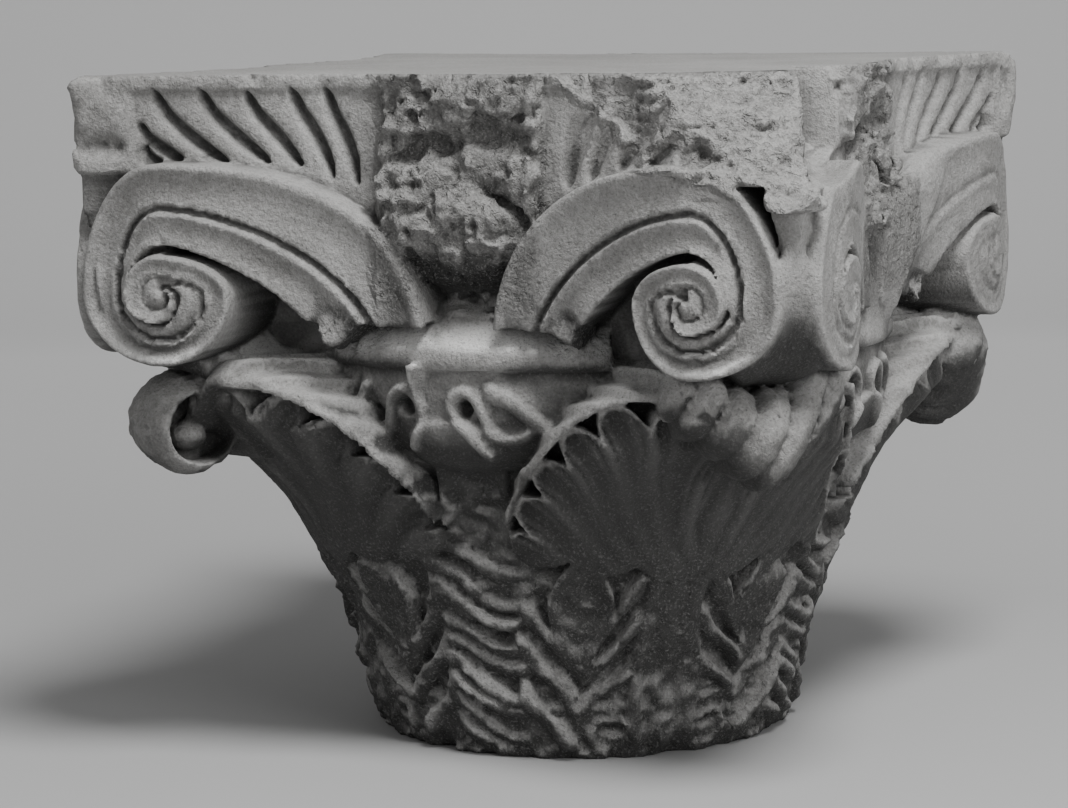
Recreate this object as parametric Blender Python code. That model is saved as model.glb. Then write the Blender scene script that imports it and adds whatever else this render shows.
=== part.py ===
"""A carved stone column capital: leafy bell, four corner leaves, eight volutes and a hollow-sided slab.

The stone is one block, described by a field that is below zero inside it. Each carved form is a short
function of the distance along a face, the depth from the axis and the height, and the surface is where the
field is zero. The four faces share one set of forms. The corners differ in how far they come out and in
their wear, and the breaks are cut last.
"""

import math

import bmesh
import bpy
import numpy as np
import openvdb

NAME = "column_capital"

# The slab on top, in metres
HEIGHT = 0.400
SLAB_BOTTOM = 0.343
SLAB_HALF_WIDTH = 0.227
SLAB_WAIST = 0.181
SLAB_CORNER_REACHES = (0.306, 0.306, 0.306, 0.317)
BLOCK_START = 0.187
BLOCK_DEPTH = 0.2150
BLOCK_UNDERCUT = 0.35
BLOCK_UNDERCUT_TOP = 0.356
FILLET_HEIGHT = 0.008
FIELD_RECESS = 0.003
FIELD_DROP = 0.060
FIELD_DROP_START = 0.085
FIELD_DROP_END = 0.120

# The fronds on the slab: each groove between two of them as its top, its foot and its bow
FROND_GROOVES = (
    (0.177, 0.390, 0.131, 0.353, -0.0030),
    (0.153, 0.390, 0.111, 0.352, -0.0010),
    (0.130, 0.389, 0.098, 0.349, 0.0010),
    (0.106, 0.391, 0.079, 0.350, 0.0030),
    (0.087, 0.390, 0.070, 0.345, 0.0030),
    (0.182, 0.371, 0.150, 0.354, -0.0010),
)
FROND_GROOVE_HALF_WIDTH = 0.0066
FROND_GROOVE_DEPTH = 0.012

# The broken stump of the flower in the middle of each face
BOSS_HALF_WIDTH = 0.049
BOSS_FOOT = 0.256
BOSS_SHOULDER = 0.325
BOSS_FOOT_INSET = 0.005
BOSS_RISE = 0.010
BOSS_LUMP = 0.019
BOSS_LUMP_HEIGHT = 0.322
BOSS_LUMP_ACROSS = -0.008
CREVICE_HEIGHT = 0.368
CREVICE_DEPTH = 0.014
CREVICE_ACROSS = -0.010
CREVICE_SIZE = (0.030, 0.010)
BOSS_LUMP_SIZE = (0.034, 0.026)
BOSS_ROUGHNESS = 0.007
BOSS_GRAIN = 0.030
BOSS_SIDE_ROUGHNESS = 0.003
BOSS_SIDE_GRAIN = 0.012
BOSS_EDGE = 0.006

# The bell that the leaves stand on, round at the foot and squarer towards the top
BELL_FOOT_RADIUS = 0.124
BELL_SPREAD = 0.20
CORNER_SPREAD = 3.2
CORNER_SPREAD_START = 0.050
CORE_HALF_WIDTH = 0.158
CORE_BOTTOM = 0.190

# The rim of the bell, which shows between the volutes, and the rounded band below it
LIP_RADIUS = 0.190
LIP_TOP = 0.246
LIP_BOTTOM = 0.233
LIP_SLOPE = 0.55
LIP_HALF_ANGLE = 31.0
BAND_BOTTOM = 0.176
BAND_FOOT_RADIUS = 0.160
BAND_INSET = 0.003
SERPENT_SWING = 0.014
SERPENT_PITCH = 0.0385
SERPENT_HALF_WIDTH = 0.0042
SERPENT_RISE = 0.0045
SERPENT_MIDDLE = 0.2085
SERPENT_START = -0.004
SERPENT_HALF_LENGTH = 0.072

# How far each corner comes out along the diagonal: near, right, back and left
CORNER_REACHES = (0.285, 0.293, 0.300, 0.303)
MEAN_REACH = 0.300
REACH_TO_EYE = 1.20
REACH_TO_FACE = 0.75

# A volute: two ribbons side by side that rise from the lip in a stem and wind in to the eye
RIBBON_START = 0.0245
EYE_ALONG = 0.1620
EYE_HEIGHT = 0.2770
STEM_RUN = 0.1145
VOLUTE_FACE = 0.2265
VOLUTE_EDGE_FALL = 0.004
LEG_DROP = 0.032
CORE_RISE = 0.009
CORE_FLAT_RADIUS = 0.010
CORE_TURN_RADIUS = 0.036
CHANNEL_DEPTH = 0.0040
EDGE_RISE = 0.0018
EDGE_START = 0.78
EDGE_ROUNDING = 0.002
GROOVE_DEPTH = 0.0080
GROOVE_HALF_WIDTH = 0.0030
GAP_DEPTH = 0.034
GAP_STEEPNESS = 5.0
# A stem's edges: how far each spreads from the eye, how high it rises and how square its turn is
OUTER_STEM = (0.1180, 0.0745, 2.3)
GROOVE_STEM = (0.0960, 0.0500, 1.7)
INNER_STEM = (0.0715, 0.0290, 1.5)
# Distances from the eye after each quarter turn: up, away from the face's middle, down and back
OUTER_TURNS = (0.0745, 0.0510, 0.0400, 0.0320, 0.0230, 0.0210, 0.0150, 0.0085, 0.0050)
GROOVE_TURNS = (0.0500, 0.0290, 0.0255, 0.0205, 0.0105, 0.0090, 0.0060, 0.0040, 0.0030)
GAP_TURN = 0.0290

# The strip that joins two volutes round a corner, and the fin above it
STRIP_HALF_WIDTH = 0.0150
STRIP_HOLLOW = 0.0045
STRIP_PROFILE_RADIUS = 0.057
STRIP_FOOT = 0.220
STRIP_FOOT_RISE = 0.80
STRIP_TOP = 0.320
STRIP_RISE = 0.004
STRIP_BULGE_RISE = 0.010
STRIP_FLARE = 0.75
STRIP_FLARE_START = 0.022
STRIP_FLARE_LIMIT = 0.014
STRIP_TAPER = 0.55
STRIP_TAPER_START = 0.012
WEB_INSET = 0.045
WEB_SLOPE = 1.5
FIN_HALF_ANGLE = 29.0
FIN_SLOPE = 0.30
FIN_START = 0.295
FIN_INSET = 0.003

# The corner leaves: the edge is named by its angle from the corner in degrees
LEAF_TIP_REACH = 0.255
LEAF_SIDE_REACH = 0.155
LEAF_TIP_HEIGHT = 0.180
LEAF_CREST_HEIGHT = 0.226
LEAF_CREST_ANGLE = 10.0
LEAF_SHOULDER_ANGLE = 16.0
LEAF_HALF_ANGLE = 39.0
LEAF_EDGE_FALL = 0.074
LEAF_TOP_RISE = 0.012
LEAF_TOP = LEAF_CREST_HEIGHT + LEAF_TOP_RISE
RIM_HEIGHT = 0.008
RIM_STEP = 0.008
RIM_BACK_SLOPE = 1.1
RIM_SIDE_SLOPE = 8.0
RIM_SIDE_START = 12.0
RIM_SIDE_END = 25.0
SCALLOP_ANGLE = 6.0
SCALLOP_DEPTH = 0.005
LEAF_START = 0.122
FAN_FOOT = 0.095
FAN_RIBS = 14.0
FAN_RIB_HEIGHT = 0.0028

# The curl at each leaf's tip: near, right, back and left. It is set in from the corner's reach. The near one
# has lost its roll, and shows the lobes of the leaf side by side.
CURL_RADII = (0.026, 0.033, 0.030, 0.028)
CURL_HEIGHTS = (0.204, 0.190, 0.197, 0.199)
CURL_INSETS = (0.046, 0.043, 0.048, 0.050)
CURL_HALF_LENGTHS = (0.022, 0.012, 0.012, 0.010)
CURL_FLUTES = (0.0055, 0.0, 0.0, 0.0)
CURL_FLUTE_ANGLE = 5.6
CURL_FLUTE_START = 36.0
CURL_FLUTE_SLANT = 100.0
CURL_HOLLOW_RADIUS = 0.019
CURL_HOLLOW_START = 0.011
CURL_CORE_RADIUS = 0.008
CURL_CORE_INSET = 0.004
CURL_CORE_DROP = 0.005
CURL_EDGE = 0.002

# The low carving on the bell, set a little round from the slab: two pointed buds on each face, ribs in a
# herringbone beside them, slanting ribs between, and a plain stalk under each leaf. A chevron is the height
# at which it meets the bud's axis and its slope, and a stripe is the height of its left end and its fall.
CARVING_TURN = 3.5
BUD_ANGLE = 23.5
BUD_HALF_WIDTH = 0.0165
BUD_POINT = 0.056
BUD_SHOULDER = 0.102
BUD_TOP = 0.122
BUD_RISE = 0.0045
INNER_CHEVRONS = ((0.055, 1.30), (0.033, 1.10), (0.003, 1.20))
OUTER_CHEVRONS = ((0.064, 1.45), (0.0475, 1.15), (0.031, 0.75))
INNER_CHEVRON_HALF_WIDTH = 0.0050
OUTER_CHEVRON_HALF_WIDTH = 0.0040
CHEVRON_RISE = 0.0065
CHEVRON_REACH = 0.033
STRIPES = (
    (0.133, 0.020),
    (0.118, 0.026),
    (0.102, 0.020),
    (0.085, 0.019),
    (0.071, 0.016),
    (0.060, 0.024),
    (0.047, 0.018),
    (0.036, 0.026),
    (0.020, 0.020),
)
STRIPE_LEFT = -13.5
STRIPE_TURN = 22.0
STRIPE_LIMIT = 20.0
STRIPE_HALF_WIDTH = 0.0055
STRIPE_RISE = 0.0070
STRIPE_FOOTING = 0.147
STALK_HALF_WIDTH = 0.021
STALK_TOP = 0.118
STALK_RISE = 0.0035
STALK_RIB_SPACING = 0.0150
STALK_RIB_HEIGHT = 0.0018
GROUND_SINK = 0.001
CARVING_FOOT = 0.003
CARVING_FULL = 0.010

# The break at the slab's near corner and the chip at the foot: a point on each plane and its slope. The corner
# fell away along the main plane, which ends in a steep one, and a flake went with it from the slab's side.
STEEP_POINT = (0.110, -0.190, 0.355)
STEEP_SLOPE = (0.609, -0.202, 0.767)
MAIN_POINT = (0.207, -0.192, 0.335)
MAIN_SLOPE = (0.400, -0.564, 0.7225)
FLAKE_DEPTH = 0.009
FLAKE_FOOT = 0.353
BREAK_ROUGHNESS = 0.0095
BREAK_BACK = 0.12
BREAK_LUMP = 0.034
CHIP_POINT = (0.085, -0.110, 0.006)
CHIP_SLOPE = (0.38, -0.42, -0.82)
CHIP_ROUGHNESS = 0.004
CHIP_LUMP = 0.020

# The mesh
VOXEL = 0.0030
BLOCK = 4
TRIANGLES = 9800
CRUMB_CORNERS = 20
BED_TOLERANCE = 0.0006
FILLET = 0.004
SEAM = 0.003
FAR_OUTSIDE = 0.05
MARGIN = 0.02
CORNER_FORMS_START = 0.100
HALF_EXTENT = 0.25
STONE_COLOUR = (0.34, 0.335, 0.325, 1.0)


def ramp(value, low, high):
    """0 below low, 1 above high, and smooth between."""
    share = np.clip((value - low) / (high - low), 0.0, 1.0)
    return share * share * (3.0 - 2.0 * share)


def join(first, second, blend):
    """The union of two fields, with the inner corner eased over a length."""
    share = np.clip(0.5 + 0.5 * (second - first) / blend, 0.0, 1.0)
    return second * (1.0 - share) + first * share - blend * share * (1.0 - share)


def meet(first, second, blend):
    """The part that two fields have in common, with the edge rounded over a length."""
    return -join(-first, -second, blend)


def lattice(column, row, layer):
    """A fixed number from 0 to 1 for each point of a lattice."""
    mixed = column * 374761393 + row * 668265263 + layer * 2147483647
    mixed = (mixed ^ (mixed >> 13)) * 1274126177
    return ((mixed ^ (mixed >> 16)) & 65535) / 65535.0


def grain(x, y, z, size):
    """Smooth noise from -1 to 1 whose lumps are about a size across."""
    cells = [np.floor(value / size).astype(np.int64) for value in (x, y, z)]
    shares = [value / size - cell for value, cell in zip((x, y, z), cells)]
    shares = [share * share * (3.0 - 2.0 * share) for share in shares]
    total = np.zeros_like(x)
    for i in (0, 1):
        for j in (0, 1):
            for k in (0, 1):
                weight = np.ones_like(x)
                for step, share in zip((i, j, k), shares):
                    weight = weight * (share if step else 1.0 - share)
                total += weight * lattice(cells[0] + i, cells[1] + j, cells[2] + k)
    return total * 2.0 - 1.0


def rubble(x, y, z, size):
    """Broken stone: two sizes of lump, one inside the other."""
    return (grain(x, y, z, size) + 0.5 * grain(x + size, y, z, size / 2.1)) / 1.5


def where_near(near, field, *values):
    """A field worked out only where a test holds, and far outside the stone elsewhere."""
    result = np.full(near.shape, FAR_OUTSIDE)
    result[near] = field(*[value[..., near] for value in values])
    return result


def slab_face(along):
    """Depth of the slab's side from the axis: hollow as far as the corner block, then flatter."""
    hollow = (BLOCK_DEPTH - SLAB_WAIST) * (np.minimum(along, BLOCK_START) / BLOCK_START) ** 2
    slope = (SLAB_HALF_WIDTH - BLOCK_DEPTH) / (SLAB_HALF_WIDTH - BLOCK_START)
    return SLAB_WAIST + hollow + slope * np.maximum(along - BLOCK_START, 0.0)


def frond_grooves(along, height):
    """Depth of the lens-shaped grooves that leave the fronds standing between them."""
    deepest = np.zeros_like(along)
    for top_along, top, foot_along, foot, bow in FROND_GROOVES:
        run, fall = foot_along - top_along, foot - top
        length = math.hypot(run, fall)
        share = ((along - top_along) * run + (height - top) * fall) / length**2
        off = ((along - top_along) * fall - (height - top) * run) / length
        swell = np.clip(4.0 * share * (1.0 - share), 0.0, 1.0)
        width = FROND_GROOVE_HALF_WIDTH * np.sqrt(swell) + 1e-5
        depth = FROND_GROOVE_DEPTH * np.clip(1.0 - np.abs(off - bow * swell) / width, 0.0, 1.0) ** 0.7
        deepest = np.maximum(deepest, np.where((share > 0.0) & (share < 1.0), depth, 0.0))
    return deepest


def slab(along, depth, height, corner_reach, carved):
    """The hollow-sided slab, with a plain fillet, plain corner blocks and the fronds in the field between."""
    out = (along + depth) / math.sqrt(2.0)
    field = ramp(HEIGHT - height, FILLET_HEIGHT, FILLET_HEIGHT + 0.002) * ramp(BLOCK_START - along, 0.0, 0.002)
    face = slab_face(along) - FIELD_RECESS * field - carved * frond_grooves(along, height)
    bottom = SLAB_BOTTOM - FIELD_DROP * (1.0 - ramp(along, FIELD_DROP_START, FIELD_DROP_END))
    undercut = BLOCK_UNDERCUT * np.maximum(BLOCK_UNDERCUT_TOP - height, 0.0)
    solid = np.maximum(depth - face, out - corner_reach + undercut)
    return np.maximum(solid, bottom - height)


def swelling(across, height, middle_across, middle, half_width, half_height):
    """1 in the middle of a lump on a face, falling off smoothly all round."""
    return np.exp(-(((across - middle_across) / half_width) ** 2 + ((height - middle) / half_height) ** 2))


def boss(across, depth, height, x, y, z):
    """The broken stump of the flower in the middle of a face."""
    share = ramp(height, BOSS_FOOT, BOSS_SHOULDER)
    lump = BOSS_LUMP * swelling(across, height, BOSS_LUMP_ACROSS, BOSS_LUMP_HEIGHT, *BOSS_LUMP_SIZE)
    crevice = CREVICE_DEPTH * swelling(across, height, CREVICE_ACROSS, CREVICE_HEIGHT, *CREVICE_SIZE)
    face = SLAB_WAIST - BOSS_FOOT_INSET + BOSS_RISE * share + lump - crevice
    face = face + BOSS_ROUGHNESS * rubble(x, y, z, BOSS_GRAIN)
    side = np.abs(across) - BOSS_HALF_WIDTH * share + BOSS_SIDE_ROUGHNESS * grain(x, y, z, BOSS_SIDE_GRAIN)
    return np.maximum(meet(depth - face, side, BOSS_EDGE), BOSS_FOOT - height)


def eye_place(reach):
    """Distance of a volute's eye from the middle of its face."""
    return EYE_ALONG + (reach - MEAN_REACH) * REACH_TO_EYE


def volute_face(along, reach):
    """Depth of the plain face that the ribbons are carved on."""
    eye = eye_place(reach)
    front = VOLUTE_FACE + (reach - MEAN_REACH) * REACH_TO_FACE
    rise = ramp(along, RIBBON_START - 0.01, eye + 0.01)
    return LIP_RADIUS + (front - LIP_RADIUS) * rise - VOLUTE_EDGE_FALL * ramp(along, eye, eye + 0.05)


def ribbon_profile(share):
    """Relief across a ribbon, from its inner edge at 0 to the raised edge on its outer side at 1."""
    channel = -CHANNEL_DEPTH * np.sin(np.pi * np.clip(share / EDGE_START, 0.0, 1.0))
    return channel + EDGE_RISE * ramp(share, EDGE_START - 0.05, EDGE_START + 0.05)


def narrow_groove(distance):
    return GROOVE_DEPTH * np.clip(1.0 - np.abs(distance) / GROOVE_HALF_WIDTH, 0.0, 1.0)


def turn_edge(radii, winding, side, up, cosine, sine):
    """Distance from the eye to a spiral edge, by direction: each quarter turn is a quarter of an oval."""
    start = 4 * winding
    flank = np.where(side >= 0.0, radii[start + 1], radii[start + 3])
    upper = np.where(side >= 0.0, radii[start], radii[start + 4])
    upright = np.where(up >= 0.0, upper, radii[start + 2])
    return 1.0 / np.sqrt((cosine / flank) ** 2 + (sine / upright) ** 2)


def stem_edge(stem, side, lifted):
    """How far outside an edge of the stem a point is, by its place from the stem's foot."""
    spread, rise, power = stem
    away = np.hypot(side, lifted) + 1e-6
    round_part = (np.abs(side) / away / spread) ** power
    tall_part = (np.maximum(lifted, 0.0) / away / (rise + LEG_DROP)) ** power
    return away - np.maximum(round_part + tall_part, 1e-6) ** (-1.0 / power)


def stem(side, lifted):
    """The two ribbons where they rise from the lip: the field of their outline, and their relief."""
    to_outer = stem_edge(OUTER_STEM, side, lifted)
    to_groove = stem_edge(GROOVE_STEM, side, lifted)
    to_inner = stem_edge(INNER_STEM, side, lifted)
    first = ribbon_profile(to_groove / np.maximum(to_groove - to_outer, 1e-4))
    second = ribbon_profile(to_inner / np.maximum(to_inner - to_groove, 1e-4))
    relief = np.where(to_groove > 0.0, first, second) - narrow_groove(to_groove)
    outside = np.maximum(np.maximum(to_outer, -to_inner), np.maximum(side, -lifted))
    return outside, np.where(to_inner > 0.0, relief, 0.0)


def scroll(side, up):
    """The two ribbons where they wind round the eye, the gap between the turns and the raised core."""
    radius = np.hypot(side, up) + 1e-6
    place = (side, up, side / radius, up / radius)
    outer = turn_edge(OUTER_TURNS, 0, *place)
    groove = turn_edge(GROOVE_TURNS, 0, *place)
    core = turn_edge(OUTER_TURNS, 1, *place)
    core_groove = turn_edge(GROOVE_TURNS, 1, *place)
    gap_edge = 1.0 / np.sqrt((place[2] / OUTER_TURNS[5]) ** 2 + (place[3] / GAP_TURN) ** 2)
    inner = np.where((side >= 0.0) & (up >= 0.0), np.maximum(gap_edge, core), core)

    first = ribbon_profile((radius - groove) / (outer - groove))
    second = ribbon_profile((radius - inner) / np.maximum(groove - inner, 1e-4))
    turned = ribbon_profile((radius - core_groove) / np.maximum(core - core_groove, 1e-4))
    relief = np.where(radius > groove, first, second) - narrow_groove(radius - groove)
    gap = np.minimum(inner - radius, radius - core)
    relief = np.where(gap > 0.0, -np.minimum(GAP_DEPTH, GAP_STEEPNESS * gap), relief)
    rise = CORE_RISE * (1.0 - ramp(radius, CORE_FLAT_RADIUS, CORE_TURN_RADIUS))
    return radius - outer, np.where(radius < core, turned, relief) + rise


def volute(along, depth, height, reach):
    """One volute: its stem, which stands on the lip, and its scroll."""
    eye = eye_place(reach)
    side = along - eye
    stretch = (eye - RIBBON_START) / STEM_RUN
    side = np.where(side < 0.0, side / stretch, side)
    up = height - EYE_HEIGHT
    outside_scroll, relief = scroll(side, up)
    outside_stem, stem_relief = stem(side, up + LEG_DROP)
    relief = np.where((side < 0.0) & (outside_scroll > 0.0), stem_relief, relief)
    outside = np.where(side < 0.0, np.minimum(outside_stem, outside_scroll), outside_scroll)
    return meet(depth - volute_face(along, reach) - relief, outside, EDGE_ROUNDING)


def corner_strip(along, depth, height, reach, corner_reach):
    """The hollow strip round the corner between two volutes, the web behind its foot and the fin above."""
    out = (along + depth) / math.sqrt(2.0)
    off = (depth - along) / math.sqrt(2.0)
    up = height - EYE_HEIGHT
    flare = np.clip(STRIP_FLARE * (-STRIP_FLARE_START - up), 0.0, STRIP_FLARE_LIMIT)
    half_width = STRIP_HALF_WIDTH + flare - STRIP_TAPER * np.maximum(up - STRIP_TAPER_START, 0.0)
    bulge = np.sqrt(np.maximum(STRIP_PROFILE_RADIUS**2 - (up - STRIP_BULGE_RISE) ** 2, 0.0))
    hollow = STRIP_HOLLOW * (1.0 - np.clip(off / STRIP_HALF_WIDTH, 0.0, 1.0) ** 2)
    profile = reach + STRIP_RISE - STRIP_PROFILE_RADIUS + bulge - hollow
    foot = STRIP_FOOT + STRIP_FOOT_RISE * off - WEB_SLOPE * np.maximum(reach - WEB_INSET - out, 0.0)
    strip = np.maximum(out - profile, off - half_width)
    strip = np.maximum(strip, np.maximum(foot - height, height - STRIP_TOP))
    strip = np.maximum(strip, depth - volute_face(along, reach))

    apex = reach - FIN_INSET + FIN_SLOPE * (height - FIN_START)
    angle = math.radians(FIN_HALF_ANGLE)
    fin = off * math.cos(angle) - (apex - out) * math.sin(angle)
    fin = np.maximum(fin, np.maximum(EYE_HEIGHT - height, height - SLAB_BOTTOM - VOXEL))
    fin = np.maximum(fin, out - corner_reach)
    return join(strip, fin, FILLET)


def openness(off_corner):
    """1 on a corner and 0 in the middle of a face, as a leaf opens out."""
    return np.clip(np.cos(np.radians(2.0 * off_corner)), 0.0, 1.0) ** 1.2


def bell_radius(off_corner, height):
    corner = CORNER_SPREAD * np.maximum(height - CORNER_SPREAD_START, 0.0) ** 2
    return BELL_FOOT_RADIUS + BELL_SPREAD * height + corner * openness(off_corner)


def round_rib(off, half_width):
    """The cross-section of a rounded rib, 1 along its ridge and 0 beyond its half width."""
    return np.sqrt(np.clip(1.0 - (off / half_width) ** 2, 0.0, 1.0))


def chevron_ribs(side, height):
    """The herringbone beside a bud. side is the distance from its axis, positive towards the face's middle."""
    reach = np.abs(side)
    inward = side > 0.0
    relief = np.zeros_like(side)
    for chevrons, here, half_width in (
        (INNER_CHEVRONS, inward, INNER_CHEVRON_HALF_WIDTH),
        (OUTER_CHEVRONS, ~inward, OUTER_CHEVRON_HALF_WIDTH),
    ):
        for foot, slope in chevrons:
            off = (height - foot - slope * reach) / math.hypot(1.0, slope)
            relief = np.maximum(relief, round_rib(off, half_width) * here)
    return CHEVRON_RISE * relief * ramp(CHEVRON_REACH - reach, -INNER_CHEVRON_HALF_WIDTH, 0.0)


def stripes(turn, height):
    """The slanting ribs between the two buds of a face, flat at their left ends and steep in the middle."""
    share = np.clip((turn - STRIPE_LEFT) / STRIPE_TURN, 0.0, 1.0)
    fall = ramp(share, 0.0, 1.0)
    run = math.radians(STRIPE_TURN) * STRIPE_FOOTING
    relief = np.zeros_like(turn)
    for start, drop in STRIPES:
        steepness = 6.0 * share * (1.0 - share) * drop / run
        off = (height - start + drop * fall) / np.hypot(1.0, steepness)
        relief = np.maximum(relief, round_rib(off, STRIPE_HALF_WIDTH))
    return STRIPE_RISE * relief * ramp(turn, STRIPE_LEFT - 2.0, STRIPE_LEFT) * (np.abs(turn) < STRIPE_LIMIT)


def bell_carving(turn, height):
    """Low relief round the bell, by the angle in degrees from the middle of a face."""
    radius = BELL_FOOT_RADIUS + BELL_SPREAD * height
    turn = (turn + CARVING_TURN + 45.0) % 90.0 - 45.0
    side = np.radians(BUD_ANGLE - np.abs(turn)) * radius
    straight = BUD_HALF_WIDTH * np.maximum(height - BUD_POINT, 0.0) / (BUD_SHOULDER - BUD_POINT)
    arch = np.clip(1.0 - ((height - BUD_SHOULDER) / (BUD_TOP - BUD_SHOULDER)) ** 2, 0.0, 1.0)
    outside = np.abs(side) - np.where(height < BUD_SHOULDER, straight, BUD_HALF_WIDTH * np.sqrt(arch))
    bud = (outside < 0.0) & (height > BUD_POINT) & (height < BUD_TOP)
    between = stripes(turn, height) * ramp(side, CHEVRON_REACH - STRIPE_HALF_WIDTH, CHEVRON_REACH)
    relief = np.where(bud, BUD_RISE, np.maximum(chevron_ribs(side, height), between)) - GROUND_SINK

    corner_side = np.radians(45.0 - np.abs(turn)) * radius
    stalk = STALK_RISE + STALK_RIB_HEIGHT * np.cos(2.0 * np.pi * corner_side / STALK_RIB_SPACING)
    on_stalk = (corner_side < STALK_HALF_WIDTH) & (height < STALK_TOP)
    return np.where(on_stalk, stalk, relief)


def serpent(turn, height):
    """The ribbon that winds up and down under the lip."""
    across = np.radians(turn) * LIP_RADIUS
    wave = SERPENT_SWING * np.sin(2.0 * np.pi * (across - SERPENT_START) / SERPENT_PITCH)
    steepness = 2.0 * np.pi * SERPENT_SWING / SERPENT_PITCH
    off = np.abs(height - SERPENT_MIDDLE - wave) / math.sqrt(1.0 + 0.6 * steepness**2)
    there = (np.abs(across) < SERPENT_HALF_LENGTH) & (height < LIP_BOTTOM)
    return SERPENT_RISE * np.clip(1.25 - off / SERPENT_HALF_WIDTH, 0.0, 1.0) * there - 0.001


def lip(turn, radius, height):
    """The bell's rim between the volutes, and the rounded band with its winding ribbon below."""
    share = np.clip((height - BAND_BOTTOM) / (LIP_BOTTOM - BAND_BOTTOM), 0.0, 1.0)
    roundness = np.sqrt(1.0 - (1.0 - share) ** 2)
    swell = BAND_FOOT_RADIUS + (LIP_RADIUS - BAND_INSET - BAND_FOOT_RADIUS) * roundness
    band = np.maximum(radius - swell - serpent(turn, height), height - LIP_BOTTOM - 0.004)
    band = np.maximum(band, BAND_BOTTOM - height)
    slope = LIP_TOP + (LIP_RADIUS - radius) * LIP_SLOPE
    rim = meet(radius - LIP_RADIUS, np.maximum(height - slope, LIP_BOTTOM - height), FILLET)
    end = np.radians(np.abs(turn) - LIP_HALF_ANGLE) * LIP_RADIUS
    return np.maximum(np.minimum(band, rim), end)


def leaf_edge(off_corner):
    """Height of a leaf's edge, by the angle in degrees from its corner, with its scallops."""
    rise = (LEAF_CREST_HEIGHT - LEAF_TIP_HEIGHT) * ramp(off_corner, 1.0, LEAF_CREST_ANGLE)
    past = np.maximum(off_corner - LEAF_SHOULDER_ANGLE, 0.0) / (LEAF_HALF_ANGLE - LEAF_SHOULDER_ANGLE)
    lobe = np.abs(np.sin(np.pi * (off_corner - LEAF_SHOULDER_ANGLE) / SCALLOP_ANGLE))
    scallop = SCALLOP_DEPTH * (1.0 - lobe) * (off_corner > LEAF_CREST_ANGLE)
    return LEAF_TIP_HEIGHT + rise - LEAF_EDGE_FALL * past**1.8 + scallop


def leaf_rim(off_corner, reach):
    """Distance of a leaf's edge from the axis."""
    tip = LEAF_TIP_REACH * reach / MEAN_REACH
    return LEAF_SIDE_REACH + (tip - LEAF_SIDE_REACH) * openness(off_corner)


def leafy_bell(turn, radius, height, reach):
    """The bell with its low carving, and the leaf that opens from it at each corner."""
    off_corner = 45.0 - np.abs(turn)
    edge = leaf_edge(off_corner)
    rim = leaf_rim(off_corner, reach)
    plain = bell_radius(off_corner, height)
    carved = plain + bell_carving(turn, height) * ramp(height, CARVING_FOOT, CARVING_FULL)

    climb = np.arctan2(height - FAN_FOOT, np.radians(off_corner) * BAND_FOOT_RADIUS)
    ribs = FAN_RIB_HEIGHT * np.cos(FAN_RIBS * climb) * ramp(height, STALK_TOP, STALK_TOP + 0.03)
    hollow = np.minimum(plain, rim - RIM_STEP) + ribs
    behind = BELL_FOOT_RADIUS + BELL_SPREAD * height
    slope = RIM_BACK_SLOPE + (RIM_SIDE_SLOPE - RIM_BACK_SLOPE) * ramp(off_corner, RIM_SIDE_START, RIM_SIDE_END)
    rolled = np.maximum(rim - slope * np.maximum(height - edge, 0.0), behind)
    leaf = np.where(height > edge - RIM_HEIGHT, rolled, np.where(height > LEAF_START, hollow, carved))
    face = np.where(off_corner < LEAF_HALF_ANGLE, leaf, carved)
    return np.maximum(radius - face, height - LEAF_TOP)


def curl(along, depth, height, place, x, y):
    """The tip of a leaf, rolled down and under, hollow at its sides round the end of the roll."""
    middle_out, middle, roll, half_length, flute = place
    out = (along + depth) / math.sqrt(2.0) - middle_out
    off = (depth - along) / math.sqrt(2.0)
    up = height - middle
    span = np.hypot(out, up)
    round_turn = np.degrees(np.arctan2(x, -y)) - CURL_FLUTE_START - CURL_FLUTE_SLANT * up
    flutes = flute * (np.abs(np.sin(np.pi * round_turn / CURL_FLUTE_ANGLE)) - 0.8)
    solid = np.hypot(span, np.maximum(off - half_length, 0.0)) - roll - flutes
    hollow = np.maximum(span - CURL_HOLLOW_RADIUS, CURL_HOLLOW_START - off)
    hollow = np.maximum(hollow, CURL_CORE_RADIUS - np.hypot(out + CURL_CORE_INSET, up + CURL_CORE_DROP))
    return np.where(flute > 0.0, solid, meet(solid, -hollow, CURL_EDGE))


def broken(x, y, z):
    """Outside zero where stone is lost: the near corner of the slab, and a chip at the foot below it."""
    def plane(point, slope):
        return slope[0] * (x - point[0]) + slope[1] * (y - point[1]) + slope[2] * (z - point[2])

    rough = BREAK_ROUGHNESS * rubble(x, y, z, BREAK_LUMP)
    flake = np.minimum(-y - slab_face(np.abs(x)) + FLAKE_DEPTH, z - FLAKE_FOOT)
    main = np.maximum(plane(MAIN_POINT, MAIN_SLOPE), flake)
    corner = np.minimum(plane(STEEP_POINT, STEEP_SLOPE), main + rough)
    chip = plane(CHIP_POINT, CHIP_SLOPE) + CHIP_ROUGHNESS * grain(x, y, z, CHIP_LUMP)
    return np.maximum(corner, chip)


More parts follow.
